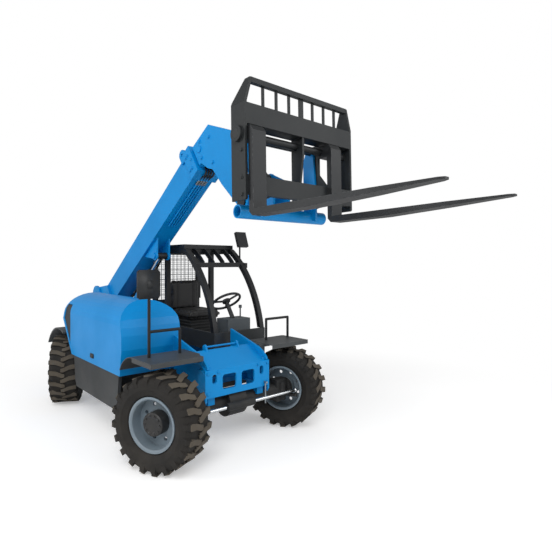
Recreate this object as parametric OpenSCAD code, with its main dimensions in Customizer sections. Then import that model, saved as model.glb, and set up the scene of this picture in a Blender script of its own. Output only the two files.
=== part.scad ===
// Compact telehandler with a raised boom and a floating fork carriage.
// Millimetres, +X forward, +Y to the left of the machine, +Z up, ground at zero.

/* [Machine] */
// Distance between the axles
wheelbase = 2300; // [2200:10:2500]
// Distance between the tyre centres of one axle
track = 1500; // [1460:10:1600]
// Gap between pieces that sit on each other
seat_gap = 0.3; // [0.2:0.1:0.6]

/* [Parked pose] */
// Boom angle above the horizontal
boom_angle = 34; // [26:1:40]
// Fork tips raised above the level
fork_tilt = 1.2; // [0:0.1:5]
// Front wheels turned to the left
steer_front = 25; // [0:1:28]
// Rear wheels turned to the right
steer_rear = 25; // [0:1:28]

/* [Wheels] */
// Tyre radius to the lug tips
tyre_r = 395; // [385:1:405]
// Tyre width
tyre_w = 310; // [290:2:320]
// Lug height
lug_h = 24; // [16:1:30]
// Lugs on each side of the tread
lug_count = 20; // [18:1:22]
// Bead seat radius of the rim
bead_r = 208; // [204:1:212]
// Rim flange radius
flange_r = 222; // [218:1:226]
// Rim width over the flanges
rim_w = 256; // [250:2:260]
// Radius of the planetary hub
hub_r = 95; // [85:1:100]
// Hub reach outside the middle plane of the wheel
hub_out = 116; // [100:1:120]

/* [Axles] */
// Height of the wheel axes that the other heights are given at
axle_z = 415; // [410:1:420]
// Kingpin axis to the middle plane of the wheel
kingpin_offset = 130; // [125:1:135]
// Kingpin radius
kingpin_r = 28; // [24:1:30]
// Knuckle radius
knuckle_r = 55; // [50:1:58]
// Knuckle height between the yoke arms
knuckle_h = 150; // [140:2:160]
// Thickness of a yoke arm
yoke_t = 32; // [28:1:36]
// Radius of the axle tubes
axle_r = 66; // [60:1:70]
// Radius of the differential housing
diff_r = 125; // [115:1:130]
// Steering arm length
steer_arm = 160; // [155:1:162]
// Steering rod radius
steer_rod_r = 16; // [13:1:18]

/* [Frame] */
// Middle plane of each frame rail
rail_y = 300; // [290:5:310]
// Thickness of the frame rails
rail_t = 20; // [16:1:25]
// Underside of the rails
rail_bottom = 520; // [510:5:530]
// Top of the rails
rail_top = 770; // [750:5:780]
// Front end of the rails
rail_front = 1235; // [1225:5:1240]
// Rear end of the rails
rail_rear = 1950; // [1940:5:2000]
// Middle plane of each boom tower
tower_y = 172; // [168:1:180]
// Thickness of the boom towers
tower_t = 25; // [20:1:28]
// Boom pivot behind the middle of the wheelbase
pivot_back = 1800; // [1790:5:1820]
// Boom pivot above the ground
pivot_z = 1240; // [1220:5:1260]
// Boom pivot pin radius
pivot_r = 40; // [35:1:45]
// Counterweight length behind the rails
ballast_l = 180; // [150:5:220]

/* [Nose] */
// Front plate ahead of the middle of the wheelbase
nose_front = 1270; // [1260:5:1280]
// Half width of the front plate
nose_half = 360; // [340:5:370]
// Lower edge of the front plate
nose_bottom = 520; // [510:5:530]
// Upper edge of the front plate
nose_bend = 760; // [750:5:770]
// Thickness of the nose plates
nose_t = 20; // [16:1:25]

/* [Engine side] */
// Outer face of hood, skirt, tank and cab
side_y = 850; // [830:5:870]
// Hood wall thickness
hood_t = 25; // [20:1:30]
// Lower edge of the hood
hood_bottom = 680; // [670:5:690]
// Crown of the hood
hood_top = 1345; // [1320:5:1360]
// Inner face of the hood
hood_inner = 262; // [255:1:270]
// Underside of the skirt
skirt_bottom = 350; // [340:5:370]

/* [Cab] */
// Cab side nearest the boom
cab_right = 168; // [160:1:180]
// Cab roof height
cab_top = 1905; // [1880:5:1940]
// Cab tube width
cab_tube = 55; // [45:1:60]
// Cab front face ahead of the middle of the wheelbase
cab_front = 620; // [600:5:640]
// Cab rear face behind the middle of the wheelbase
cab_rear = 800; // [780:5:820]
// Thickness of the cab panels
cab_wall = 25; // [20:1:30]
// Top of the cab front panel
dash_top = 955; // [930:5:980]

/* [Boom] */
// Width of the outer boom section
boom_w = 240; // [230:2:250]
// Height of the outer boom section
boom_h = 280; // [270:2:290]
// Top plate of the boom below the pivot line
boom_drop = 23; // [18:1:30]
// Wall of the outer boom section
boom_t = 12; // [10:1:14]
// Gap between the two boom sections
boom_slack = 9; // [8:0.5:10]
// Pivot to the front end of the outer section
boom_l = 2905; // [2880:5:2930]
// Wall of the inner boom section
inner_t = 12; // [10:1:14]
// Lift pin along the boom
lift_pin_u = 1600; // [1580:5:1620]
// Lift pin below the pivot line
lift_pin_w = 436; // [430:1:442]

/* [Boom head] */
// Thickness of the head plates
head_t = 20; // [16:1:22]
// Coupler pin ahead of the outer section
head_reach = 355; // [345:5:365]
// Coupler pin below the pivot line
head_pin_w = 1015; // [1005:1:1020]
// Coupler pin radius
head_pin_r = 35; // [30:1:38]
// Tilt cylinder pin ahead of the outer section
tilt_base_reach = 110; // [105:1:120]
// Tilt cylinder pin below the pivot line
tilt_base_w = 150; // [145:1:155]

/* [Lift cylinder] */
// Lower pin behind the middle of the wheelbase
lift_base_back = 1625; // [1615:5:1640]
// Lower pin above the ground
lift_base_z = 560; // [555:1:570]
// Pin radius
lift_pin_r = 25; // [22:1:28]
// Barrel radius
lift_barrel_r = 58; // [52:1:60]
// Rod radius
lift_rod_r = 33; // [28:1:36]

/* [Tilt cylinder] */
// Barrel radius
tilt_barrel_r = 46; // [42:1:50]
// Rod radius
tilt_rod_r = 25; // [22:1:28]
// Pin radius
tilt_pin_r = 22; // [20:1:25]
// Rod pin ahead of the coupler pin
tilt_eye_x = 150; // [145:1:155]
// Rod pin above the coupler pin
tilt_eye_z = 192; // [186:1:198]

/* [Carriage] */
// Half width of the carriage
carriage_half = 572; // [560:2:590]
// Rear edge of the carriage ahead of the coupler pin
carriage_back = 480; // [475:1:490]
// Front edge of the carriage ahead of the coupler pin
carriage_face = 640; // [630:2:650]
// Lower end of the carriage below the coupler pin
carriage_low = 100; // [95:1:105]
// Upper end of the carriage above the coupler pin
carriage_high = 770; // [750:5:790]
// Plate thickness of the carriage
carriage_t = 20; // [16:1:22]
// Fork shaft above the coupler pin
shaft_z = 369; // [360:1:375]
// Fork shaft radius
shaft_r = 29; // [26:1:30]
// Middle plane of each coupler side plate
coupler_y = 300; // [290:2:310]

/* [Forks] */
// Blade length ahead of the shank
fork_l = 1365; // [1200:5:1400]
// Blade width
fork_w = 120; // [100:2:125]
// Shank and blade thickness
fork_t = 48; // [40:1:50]
// Underside of the blades below the coupler pin
fork_low = 212; // [205:1:220]
// Middle of the right fork from the centre line
fork_right_y = 484; // [470:2:486]
// Middle of the left fork from the centre line
fork_left_y = 320; // [140:5:400]

/* [Hidden] */
$fn = 48;

FRONT = 1;
REAR = -1;
LEFT = 1;
RIGHT = -1;

axle_x = wheelbase / 2;
kingpin_y = track / 2 - kingpin_offset;
run_gap = seat_gap;

pivot = [-pivot_back, 0, pivot_z];
boom_top = -boom_drop;
boom_bottom = boom_top - boom_h;
boom_mid = boom_top - boom_h / 2;
inner_w = boom_w - 2 * boom_t - 2 * boom_slack;
inner_h = boom_h - 2 * boom_t - 2 * boom_slack;
head_pin_u = boom_l + head_reach;
tilt_base_u = boom_l + tilt_base_reach;
head_lap = 2;
head_gap = inner_w - 2 * head_lap;
head_y = head_gap / 2 + head_t / 2;

// World position of a point given along the boom and above the pivot line
function on_boom(u, w) = [
    pivot.x + u * cos(boom_angle) - w * sin(boom_angle),
    0,
    pivot.z + u * sin(boom_angle) + w * cos(boom_angle)
];
// World position of a point given ahead of and above the coupler pin
function on_carriage(x, z) = [
    head_pin.x + x * cos(fork_tilt) - z * sin(fork_tilt),
    0,
    head_pin.z + x * sin(fork_tilt) + z * cos(fork_tilt)
];
function steer_of(end) = end == FRONT ? steer_front : -steer_rear;
// Angle of the line from one point to another in the side view
function rise(a, b) = atan2(b.z - a.z, b.x - a.x);

head_pin = on_boom(head_pin_u, -head_pin_w);
lift_top = on_boom(lift_pin_u, -lift_pin_w);
lift_base = [-lift_base_back, 0, lift_base_z];
lift_l = norm(lift_top - lift_base);
lift_angle = rise(lift_base, lift_top);
tilt_base = on_boom(tilt_base_u, -tilt_base_w);
tilt_eye = on_carriage(tilt_eye_x, tilt_eye_z);
tilt_l = norm(tilt_eye - tilt_base);
tilt_angle = rise(tilt_base, tilt_eye);

cab_floor = rail_top + seat_gap + cab_wall;
shank_x = carriage_face + seat_gap;
blade_x = shank_x + fork_t;
fork_tip = on_carriage(blade_x + fork_l, fork_t - fork_low);
rear_end = -rail_rear - ballast_l;
x_shift = -(fork_tip.x + rear_end) / 2;

echo(joint_values = [
    x_shift, pivot, head_pin, lift_base, lift_top, tilt_base, tilt_eye, lift_angle, tilt_angle,
    kingpin_y, axle_x, axle_z, tyre_r, boom_angle, hood_hinge_y, hood_hinge_z
]);

module in_frame() {
    translate([x_shift, 0, tyre_r - axle_z])
        children();
}

// Plate drawn in the side view, with its middle plane at y
module side_plate(y, t) {
    translate([0, y + t / 2, 0])
        rotate([90, 0, 0])
            linear_extrude(t)
                children();
}

// Plates on both sides of the centre line
module both_sides() {
    children();
    mirror([0, 1, 0])
        children();
}

// Round bar along Y, centred on the line y = 0
module bar_y(r, l) {
    rotate([90, 0, 0])
        cylinder(r = r, h = l, center = true);
}

// Round bar between two points
module rod_between(a, b, r) {
    d = b - a;
    l = norm(d);
    translate(a)
        rotate([0, acos(d.z / l), atan2(d.y, d.x)])
            cylinder(r = r, h = l);
}

module box(x0, x1, y0, y1, z0, z1) {
    translate([x0, y0, z0])
        cube([x1 - x0, y1 - y0, z1 - z0]);
}

module at_boom() {
    in_frame()
        translate(pivot)
            rotate([0, -boom_angle, 0])
                children();
}

module at_carriage() {
    in_frame()
        translate(head_pin)
            rotate([0, -fork_tilt, 0])
                children();
}

module at_lift() {
    in_frame()
        translate(lift_base)
            rotate([0, -lift_angle, 0])
                children();
}

module at_tilt() {
    in_frame()
        translate(tilt_base)
            rotate([0, -tilt_angle, 0])
                children();
}

module at_kingpin(end, side) {
    in_frame()
        translate([end * axle_x, side * kingpin_y, axle_z])
            rotate([0, 0, steer_of(end)])
                children();
}

// Wheel axis along the third direction, outside of the machine up
module at_wheel(end, side) {
    at_kingpin(end, side)
        translate([0, side * kingpin_offset, 0])
            rotate([-90 * side, 0, 0])
                children();
}

// Frame and boom supports

tower_r = 130;
tower_front = pivot_back - 1290;
lift_lug_t = 30;
lift_gap = 130;

module tower_shape() {
    circle_r = tower_r;
    translate([-pivot_back, pivot_z])
        circle(circle_r);
    polygon([
        [-pivot_back - circle_r, rail_bottom],
        [-pivot_back + tower_front, rail_bottom],
        [-pivot_back + tower_front, rail_top],
        [-pivot_back + 115, pivot_z + 60],
        [-pivot_back - circle_r, pivot_z]
    ]);
}

module rail_shape() {
    polygon([
        [-rail_rear, rail_bottom + 60],
        [-rail_rear + 60, rail_bottom],
        [rail_front, rail_bottom],
        [rail_front, rail_top - 40],
        [rail_front - 65, rail_top],
        [-rail_rear, rail_top]
    ]);
}

module main_frame() {
    color("#0b86c9")
    in_frame() {
        both_sides() {
            side_plate(rail_y, rail_t)
                rail_shape();
            side_plate(tower_y, tower_t)
                tower_shape();
            // Webs that tie each tower to its rail
            for (x = [-rail_rear + 30, -pivot_back + tower_front - 20])
                box(x - 10, x + 10, tower_y, rail_y, rail_bottom, rail_top);
            // Lugs of the lower lift pin
            translate([0, lift_gap / 2 + lift_lug_t / 2, 0])
                side_plate(0, lift_lug_t)
                    lift_lug_shape();
        }
        // Cross members
        box(-rail_rear, -rail_rear + 20, -rail_y, rail_y, rail_bottom + 60, rail_top);
        box(-lift_base_back - 110, -lift_base_back + 110, -rail_y, rail_y, rail_bottom - 40, rail_bottom - 15);
        both_sides()
            for (x = [-lift_base_back - 110, -lift_base_back + 90])
                box(x, x + 20, lift_gap / 2 + lift_lug_t, rail_y, rail_bottom - 40, rail_bottom + 20);
        box(-780, -700, -rail_y, rail_y, rail_bottom - 5, rail_bottom + 60);
        box(200, 280, -rail_y, rail_y, rail_bottom - 5, rail_bottom + 60);
        box(930, 1010, -rail_y, rail_y, rail_bottom + 30, rail_bottom + 80);
        // Boom pin and lower lift pin
        translate(pivot)
            bar_y(pivot_r, 2 * tower_y + tower_t + 30);
        translate(lift_base)
            bar_y(lift_pin_r, lift_gap + 2 * lift_lug_t);
        // Hangers of the two axles
        for (x = [-axle_x, axle_x])
            both_sides()
                difference() {
                    box(x - 84, x + 84, rail_y - 60, rail_y + 10, axle_z + 30, rail_bottom + 40);
                    translate([x, rail_y, axle_z])
                        bar_y(axle_r + seat_gap, 200);
                }
    }
}

module lift_lug_shape() {
    translate([-lift_base_back, lift_base_z])
        circle(48);
    translate([-lift_base_back - 70, rail_bottom - 30])
        square([140, lift_base_z - rail_bottom + 40]);
}

// Front nose

rest_x = 1000;
rest_z = 885;
rest_half = 190;
nose_back = 690;
toe_drop = 60;

module nose_side_shape() {
    polygon([
        [nose_back, rail_top + seat_gap],
        [nose_front, rail_top + seat_gap],
        [nose_front, rail_top + 20],
        [nose_front - 60, rail_top + 75],
        [nose_front - 130, rail_top + 110],
        [nose_back, 1000]
    ]);
}

module front_nose() {
    color("#0b86c9")
    in_frame() {
        difference() {
            box(nose_front - nose_t, nose_front, -nose_half, nose_half, nose_bottom, nose_bend);
            // Pair of rounded openings
            for (s = [-1, 1])
                translate([nose_front, s * 105, (nose_bottom + nose_bend) / 2])
                    rotate([90, 0, 90])
                        rounded_hole(150, 130, 26, 4 * nose_t);
            // Oval holes at the ends
            for (s = [-1, 1])
                translate([nose_front, s * 265, (nose_bottom + nose_bend) / 2 + 40])
                    rotate([90, 0, 90])
                        rounded_hole(46, 80, 22.9, 4 * nose_t);
        }
        // Sloped boom rest
        rest_plate();
        both_sides() {
            side_plate(rail_y + 30, nose_t)
                nose_side_shape();
            // Ears of the boom rest
            side_plate(rest_half - 10, nose_t)
                rest_ear_shape();
            // Toes under the ends of the front plate
            side_plate(nose_half - nose_t / 2, nose_t)
                toe_shape();
            // Side gusset from the toe to the raised side plate
            box(rail_front + seat_gap, nose_front - nose_t, rail_y - 10, rail_y + 40, nose_bottom, rail_top + 20);
        }
        translate([rest_x - 20, 0, rest_z + 22])
            bar_y(9, 2 * rest_half);
    }
}

module rounded_hole(w, h, r, t) {
    linear_extrude(t, center = true)
        union() {
            square([w - 2 * r, h], center = true);
            square([w, h - 2 * r], center = true);
            for (x = [-1, 1], y = [-1, 1])
                translate([x * (w / 2 - r), y * (h / 2 - r)])
                    circle(r);
        }
}

module rest_ear_shape() {
    translate([rest_x - 20, rest_z + 22])
        circle(24);
    polygon([
        [rest_x - 44, rest_z - 30],
        [rest_x + 60, rest_z - 50],
        [rest_x + 4, rest_z + 22],
        [rest_x - 44, rest_z + 22]
    ]);
}

module rest_plate() {
    slope = atan2(rest_z - nose_bend, nose_front - rest_x);
    run = norm([nose_front - rest_x, rest_z - nose_bend]);
    translate([nose_front, 0, nose_bend])
        rotate([0, slope, 0])
            translate([0, 0, -nose_t])
                linear_extrude(nose_t)
                    polygon([[0, -nose_half], [0, nose_half], [-run, rail_y + 20], [-run, -rail_y - 20]]);
}

module toe_shape() {
    polygon([
        [nose_front - 120, nose_bottom + 20],
        [nose_front - 60, nose_bottom - toe_drop],
        [nose_front - 20, nose_bottom - toe_drop],
        [nose_front, nose_bottom - toe_drop + 30],
        [nose_front, nose_bend - 60],
        [nose_front - 40, nose_bend],
        [nose_front - 120, nose_bend]
    ]);
}

module counterweight() {
    color("#2c2e2f")
    in_frame()
        difference() {
            translate([0, 0, 430])
                linear_extrude(470)
                    polygon([
                        [-rail_rear - seat_gap, -430],
                        [-rail_rear - seat_gap, 430],
                        [rear_end + 70, 430],
                        [rear_end, 330],
                        [rear_end, -330],
                        [rear_end + 70, -430]
                    ]);
            box(rear_end - 1, rear_end + 60, -60, 60, 500, 640);
        }
}

// Axles, steering and wheels

module axle_body(end) {
    spread = kingpin_y - 85;
    translate([end * axle_x, 0, axle_z]) {
        difference() {
            union() {
                bar_y(axle_r, 2 * spread);
                bar_y(diff_r, 190);
                both_sides()
                    yoke();
                // Steering cylinder across the housing
                translate([rod_reach(end), 0, 0]) {
                    bar_y(steer_rod_r + 20, 300);
                    both_sides()
                        box(min(0, -rod_reach(end)) + 0, max(0, -rod_reach(end)), 60, 90, -20, 20);
                }
            }
            translate([rod_reach(end), 0, 0])
                bar_y(steer_rod_r + run_gap, 400);
        }
    }
}

// Steering rod position along X from its axle
function rod_reach(end) = end * steer_arm * cos(steer_of(end));

module yoke() {
    difference() {
        union() {
            box(-60, 60, kingpin_y - 110, kingpin_y - 70, -knuckle_h / 2 - yoke_t, knuckle_h / 2 + yoke_t);
            for (z = [-knuckle_h / 2 - yoke_t, knuckle_h / 2])
                translate([0, 0, z]) {
                    box(-50, 50, kingpin_y - 100, kingpin_y, 0, yoke_t);
                    translate([0, kingpin_y, 0])
                        cylinder(r = 50, h = yoke_t);
                }
        }
        translate([0, kingpin_y, -knuckle_h])
            cylinder(r = kingpin_r + run_gap, h = 2 * knuckle_h);
    }
}

module front_axle() {
    color("#26282a")
    in_frame()
        axle_body(FRONT);
}

module rear_axle() {
    color("#26282a")
    in_frame()
        axle_body(REAR);
}

module knuckle(end, side) {
    spindle = kingpin_offset - hub_in - seat_gap;
    arm = end * steer_arm;
    color("#2f3133")
    at_kingpin(end, side) {
        cylinder(r = knuckle_r, h = knuckle_h - 2 * run_gap, center = true);
        cylinder(r = kingpin_r, h = knuckle_h + 2 * yoke_t, center = true);
        translate([0, side * spindle / 2, 0])
            bar_y(knuckle_r - 3, spindle);
        translate([0, side * (spindle - 9), 0])
            bar_y(88, 18);
        // Steering arm with its ball pin
        box(min(0, arm), max(0, arm), -18, 18, -64, -40);
        translate([arm, 0, -64])
            cylinder(r = 20, h = 24);
        translate([arm, 0, -64])
            cylinder(r = 10, h = 36);
    }
}

hub_in = 60;

module knuckle_fr() knuckle(FRONT, RIGHT);
module knuckle_fl() knuckle(FRONT, LEFT);
module knuckle_rr() knuckle(REAR, RIGHT);
module knuckle_rl() knuckle(REAR, LEFT);

module steer_rod(end) {
    shift = end * steer_arm * sin(steer_of(end));
    color("#b9bdc0")
    in_frame()
        translate([end * axle_x + rod_reach(end), shift, axle_z]) {
            bar_y(steer_rod_r, 2 * kingpin_y - 40);
            both_sides()
                translate([0, kingpin_y, 0])
                    difference() {
                        union() {
                            sphere(r = 24);
                            translate([0, -12, 0])
                                bar_y(steer_rod_r, 36);
                        }
                        box(-30, 30, -30, 30, -40, -16);
                    }
        }
}

module steer_rod_front() steer_rod(FRONT);
module steer_rod_rear() steer_rod(REAR);

barrel_in = 12;
flange_t = 12;
disc_t = 16;
lug_root = 27;
lug_in = 22;
lug_bend = 70;
lug_out = tyre_w / 2 - 16;
lug_reach = 64;
lug_top = sqrt(tyre_r * tyre_r - lug_reach * lug_reach);
rim_holes = 8;
rim_hole_r = 17;

module rim(end, side) {
    half = rim_w / 2;
    inner = bead_r - barrel_in;
    color("#8f9aa3")
    at_wheel(end, side)
        difference() {
            rim_body(half, inner);
            for (i = [0:rim_holes - 1])
                rotate([0, 0, 360 * (i + 0.5) / rim_holes])
                    translate([(hub_r + inner) / 2, 0, -disc_t])
                        cylinder(r = rim_hole_r, h = 4 * disc_t);
        }
}

module rim_body(half, inner) {
    rotate_extrude()
        polygon([
                [0, -hub_in],
                [hub_r + 5, -hub_in],
                [hub_r + 5, 0],
                [inner, 0],
                [inner, -half + 10],
                [inner + 10, -half],
                [flange_r, -half],
                [flange_r, -half + flange_t],
                [bead_r, -half + flange_t + 6],
                [bead_r, half - flange_t - 6],
                [flange_r, half - flange_t],
                [flange_r, half],
                [inner + 10, half],
                [inner, half - 10],
                [inner, disc_t],
                [hub_r, disc_t],
                [hub_r, hub_out - 8],
                [hub_r - 9, hub_out],
                [0, hub_out]
            ]);
}

module rim_fr() rim(FRONT, RIGHT);
module rim_fl() rim(FRONT, LEFT);
module rim_rr() rim(REAR, RIGHT);
module rim_rl() rim(REAR, LEFT);

// Bent lug, drawn flat with the way round the tyre along X and its width along Y
lug_points = [
    [-26, 6],
    [-22, -lug_in],
    [14, -lug_in],
    [22, 0],
    [52, lug_bend],
    [lug_reach, lug_out],
    [12, lug_out],
    [2, lug_bend]
];

module tyre(end, side) {
    half = tyre_w / 2;
    bead = rim_w / 2 - flange_t - 6 - seat_gap;
    bore = bead_r + seat_gap;
    carcass = tyre_r - lug_h;
    color("#38342f")
    at_wheel(end, side) {
        rotate_extrude()
            polygon([
                [bore, -bead],
                [flange_r + 2, -bead - 3],
                [flange_r + 14, -half + 22],
                [flange_r + 50, -half + 6],
                [tyre_r - 110, -half],
                [tyre_r - 60, -half + 5],
                [carcass - 10, -half + 20],
                [carcass, -half + 45],
                [carcass + 3, 0],
                [carcass, half - 45],
                [carcass - 10, half - 20],
                [tyre_r - 60, half - 5],
                [tyre_r - 110, half],
                [flange_r + 50, half - 6],
                [flange_r + 14, half - 22],
                [flange_r + 2, bead + 3],
                [bore, bead]
            ]);
        for (i = [0:lug_count - 1]) {
            rotate([0, 0, 360 * i / lug_count])
                lug();
            rotate([0, 0, 360 * (i + 0.5) / lug_count])
                mirror([0, 0, 1])
                    lug();
        }
    }
}

// One lug of the tread with its foot on the shoulder
module lug() {
    root = tyre_r - lug_h - lug_root;
    rotate([90, 0, 90])
        translate([0, 0, root])
            linear_extrude(lug_top - root)
                polygon(lug_points);
    rotate([90, 0, 0])
        translate([0, 0, 4 - lug_reach])
            linear_extrude(lug_reach - 20)
                polygon([
                    [root, lug_out - 30],
                    [tyre_r - 14, lug_out - 1],
                    [tyre_r - 40, tyre_w / 2 - 1],
                    [tyre_r - 84, tyre_w / 2 - 2],
                    [tyre_r - 84, tyre_w / 2 - 20]
                ]);
}

module tyre_fr() tyre(FRONT, RIGHT);
module tyre_fl() tyre(FRONT, LEFT);
module tyre_rr() tyre(REAR, RIGHT);
module tyre_rl() tyre(REAR, LEFT);

module driveline() {
    gap = diff_r + seat_gap;
    color("#33363a")
    in_frame() {
        box(-420, -120, -150, 150, 340, rail_bottom - 5.3);
        for (e = [FRONT, REAR])
            rod_between([e == FRONT ? -120 : -420, 0, axle_z], [e * (axle_x - gap), 0, axle_z], 38);
    }
}

// Engine side

module engine() {
    color("#4a4d50")
    in_frame()
        box(-520, 330, -740, -350, skirt_bottom + 20 + seat_gap, 1060);
}

skirt_rear = 600;
skirt_front = 590;

module engine_skirt() {
    color("#3b3e40")
    in_frame() {
        side_plate(-side_y + 25, 30)
            polygon([
                [-skirt_rear, skirt_bottom + 60],
                [-skirt_rear + 40, skirt_bottom],
                [skirt_front - 50, skirt_bottom],
                [skirt_front, hood_bottom - seat_gap],
                [-skirt_rear - 40, hood_bottom - seat_gap]
            ]);
        box(-skirt_rear + 40, skirt_front - 50, -side_y + 20, -rail_y - rail_t / 2 - seat_gap, skirt_bottom, skirt_bottom + 20);
        // Upright that carries the tray on the rail
        box(-skirt_rear + 40, skirt_front - 50, -rail_y - rail_t / 2 - 15, -rail_y - rail_t / 2 - seat_gap, skirt_bottom, hood_hinge_z - 60);
    }
}

hood_hinge_y = -hood_inner - 12;
hood_hinge_z = 1180;
hood_barrel_r = 17;
hood_clear = 6;

// Points of a quarter ellipse from one angle to another
function quarter(c, a, b, from, to, n) = [for (i = [0:n]) let (t = from + (to - from) * i / n) [c.x + a * cos(t), c.y + b * sin(t)]];

hood_arc_n = 8;

// Side view of the hood, drawn in by e on every edge
function hood_profile(e) = concat(
    [
        [-690 + e * 1.1, hood_bottom + (e > 0 ? -50 : 0)],
        [-690 + e * 1.1, hood_bottom],
        [-1000 + e * 1.3, 1050],
        [-880 + e, 1270],
        [-780 + e, hood_top + 60 - e]
    ],
    quarter([300, 1000], 370 - e, hood_top - 940 - e, 90, 5, hood_arc_n),
    [
        [672 - e, 910 + e * 0.3],
        [635 - e, hood_bottom],
        [635 - e, hood_bottom + (e > 0 ? -50 : 0)]
    ]
);
// Cross section of the hood seen from the front
function hood_section(e) = concat(
    [[-side_y + e, hood_bottom - (e > 0 ? 50 : 1)]],
    quarter([-570, 1130], side_y - 570 - e, hood_top - 1130 - e, 180, 90, hood_arc_n),
    quarter([-560, 1135], 560 - hood_inner - e, hood_top - 1135 - e, 90, 0, hood_arc_n),
    [[-hood_inner - e, hood_bottom - (e > 0 ? 50 : 1)]]
);

module hood_form(e) {
    intersection() {
        side_plate(-550, 800)
            polygon(hood_profile(e));
        translate([-1500, 0, 0])
            rotate([90, 0, 90])
                linear_extrude(3000)
                    polygon(hood_section(e));
    }
}

module engine_hood() {
    color("#0e8fd6")
    in_frame()
        difference() {
            union() {
                difference() {
                    hood_form(0);
                    hood_form(hood_t);
                }
                // Barrels of the hinge
                for (x = [-480, 220])
                    translate([x, hood_hinge_y, hood_hinge_z])
                        rotate([0, 90, 0])
                            cylinder(r = hood_barrel_r, h = 110);
            }
            // Open side towards the bulkhead
            box(-680, 672 - 2 * hood_t - 12, -hood_inner - hood_t - 1, 0, 0, hood_hinge_z - 30);
            // Room for the frame rail
            box(-1100, 800, -rail_y - rail_t / 2 - hood_clear, 0, 0, rail_top + hood_clear);
            // Opening of the rear side grille
            side_plate(-side_y + hood_t / 2, hood_t + 30)
                grille_shape(0);
        }
}

function grille_points(e) = [
    [-735 - e, 1225 - e],
    [-735 - e, 770 + 2 * e],
    [-955 + e, 1055],
    [-875 + e, 1225 - e]
];

module grille_shape(e) {
    polygon(grille_points(e));
}

module hood_grille() {
    color("#202224")
    in_frame()
        intersection() {
            side_plate(-side_y + hood_t / 2 + 4, hood_t - 8)
                grille_shape(seat_gap);
            hood_form(0);
        }
}

// Left side under the cab

module fuel_tank() {
    inner = rail_y + rail_t / 2 + seat_gap;
    color("#2b2d2f")
    in_frame()
        difference() {
            box(-600, 560, inner, side_y, skirt_bottom, cab_floor - cab_wall - seat_gap);
            // Step into the cab
            box(-120, 330, side_y - 190, side_y + 1, skirt_bottom + 110, skirt_bottom + 300);
        }
}

// Fenders and mirrors

plate_z = 900;

fender_arc_r = 300;
fender_drop = 150;
fender_x = 935;

// Flat plate with bent edges and an arched back
module front_fender() {
    inner = 390;
    outer = 870;
    mid = (inner + outer) / 2;
    box(fender_x, 1290, inner, outer, plate_z - 8, plate_z);
    box(1282, 1290, inner, outer, plate_z - 40, plate_z);
    box(fender_x, 1290, outer - 8, outer, plate_z - 40, plate_z);
    box(860, 1150, inner - 49.5, inner + 8, plate_z - 80, plate_z - 4);
    difference() {
        translate([fender_x, mid, plate_z - fender_arc_r])
            bar_y(fender_arc_r, outer - inner);
        translate([fender_x, mid, plate_z - fender_arc_r])
            bar_y(fender_arc_r - 8, outer);
        box(fender_x + 1, 2 * fender_x, 0, 2 * outer, 0, 2 * plate_z);
        box(0, 2 * fender_x, 0, 2 * outer, 0, plate_z - fender_drop);
    }
}

module tube_guard(y0, y1) {
    x = 1030;
    top = 1115;
    r = 13;
    for (y = [y0, y1]) {
        rod_between([x, y, plate_z], [x, y, top], r);
        translate([x, y, top])
            sphere(r);
    }
    rod_between([x, y0, top], [x, y1, top], r);
}

module front_fenders() {
    color("#44474a")
    in_frame() {
        both_sides()
            front_fender();
    }
}

module rear_fenders() {
    color("#4b4e50")
    in_frame()
        both_sides() {
            difference() {
                translate([-axle_x, 700, axle_z])
                    bar_y(tyre_r + 113, 320);
                translate([-axle_x, 700, axle_z])
                    bar_y(tyre_r + 95, 340);
                box(-axle_x - 600, -axle_x + 600, 500, 900, -100, axle_z + 280);
                box(-axle_x + 180, -axle_x + 600, 500, 900, -100, axle_z + tyre_r + 200);
            }
            box(-axle_x - 120, -axle_x - 40, rail_y + rail_t / 2 + seat_gap, 560, 885, 912);
            box(-axle_x - 120, -axle_x - 40, rail_y + rail_t / 2 + seat_gap, rail_y + 40, 700, 912);
        }
}

module mirrors() {
    color("#1f2123")
    in_frame() {
        tube_guard(-470, -760);
        tube_guard(525, 825);
        rod_between([1030, -760, 1115], [1030, -760, 1640], 13);
        box(1018, 1042, -860, -670, 1400, 1630);
        // Left mirror on its stalk, clamped to the pillar
        box(190, 245, side_y + seat_gap, side_y + 40, 1630, 1690);
        box(100, 217, side_y + 12, side_y + 38, 1648, 1672);
        translate([112, side_y + 25, 1650])
            cylinder(r = 10, h = 250);
        translate([112, side_y + 50, 1975])
            rotate([0, -20, 0])
                cube([40, 150, 190], center = true);
    }
}

// Cab

module cab_tub() {
    color("#34383a")
    in_frame() {
        box(-cab_rear, cab_front, cab_right, side_y, cab_floor - cab_wall, cab_floor);
        // Front panel
        box(cab_front - cab_wall, cab_front, cab_right, side_y, cab_floor - cab_wall, dash_top);
        box(cab_front - cab_wall, cab_front, rail_y + rail_t / 2 + seat_gap, side_y, 560, cab_floor);
        // Wall beside the boom
        box(-cab_rear, cab_front, cab_right, cab_right + cab_wall, cab_floor, dash_top);
        // Low rear wall
        box(-cab_rear, -cab_rear + cab_wall, cab_right, side_y, cab_floor, 1210);
    }
}

roof_t = 50;
pillar_low = [cab_front - 42, dash_top];
pillar_mid = [205, 1668];
pillar_high = [-40, cab_top - 45];

// Centre of the circle through three points of the plane
function circle_centre(a, b, c) =
    let (d = 2 * (a.x * (b.y - c.y) + b.x * (c.y - a.y) + c.x * (a.y - b.y)))
    [
        ((a * a) * (b.y - c.y) + (b * b) * (c.y - a.y) + (c * c) * (a.y - b.y)) / d,
        ((a * a) * (c.x - b.x) + (b * b) * (a.x - c.x) + (c * c) * (b.x - a.x)) / d
    ];

visor_bars = 4;
visor_bar_t = 16;

pillar_centre = circle_centre(pillar_low, pillar_mid, pillar_high);
pillar_r = norm(pillar_low - pillar_centre);

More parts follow.
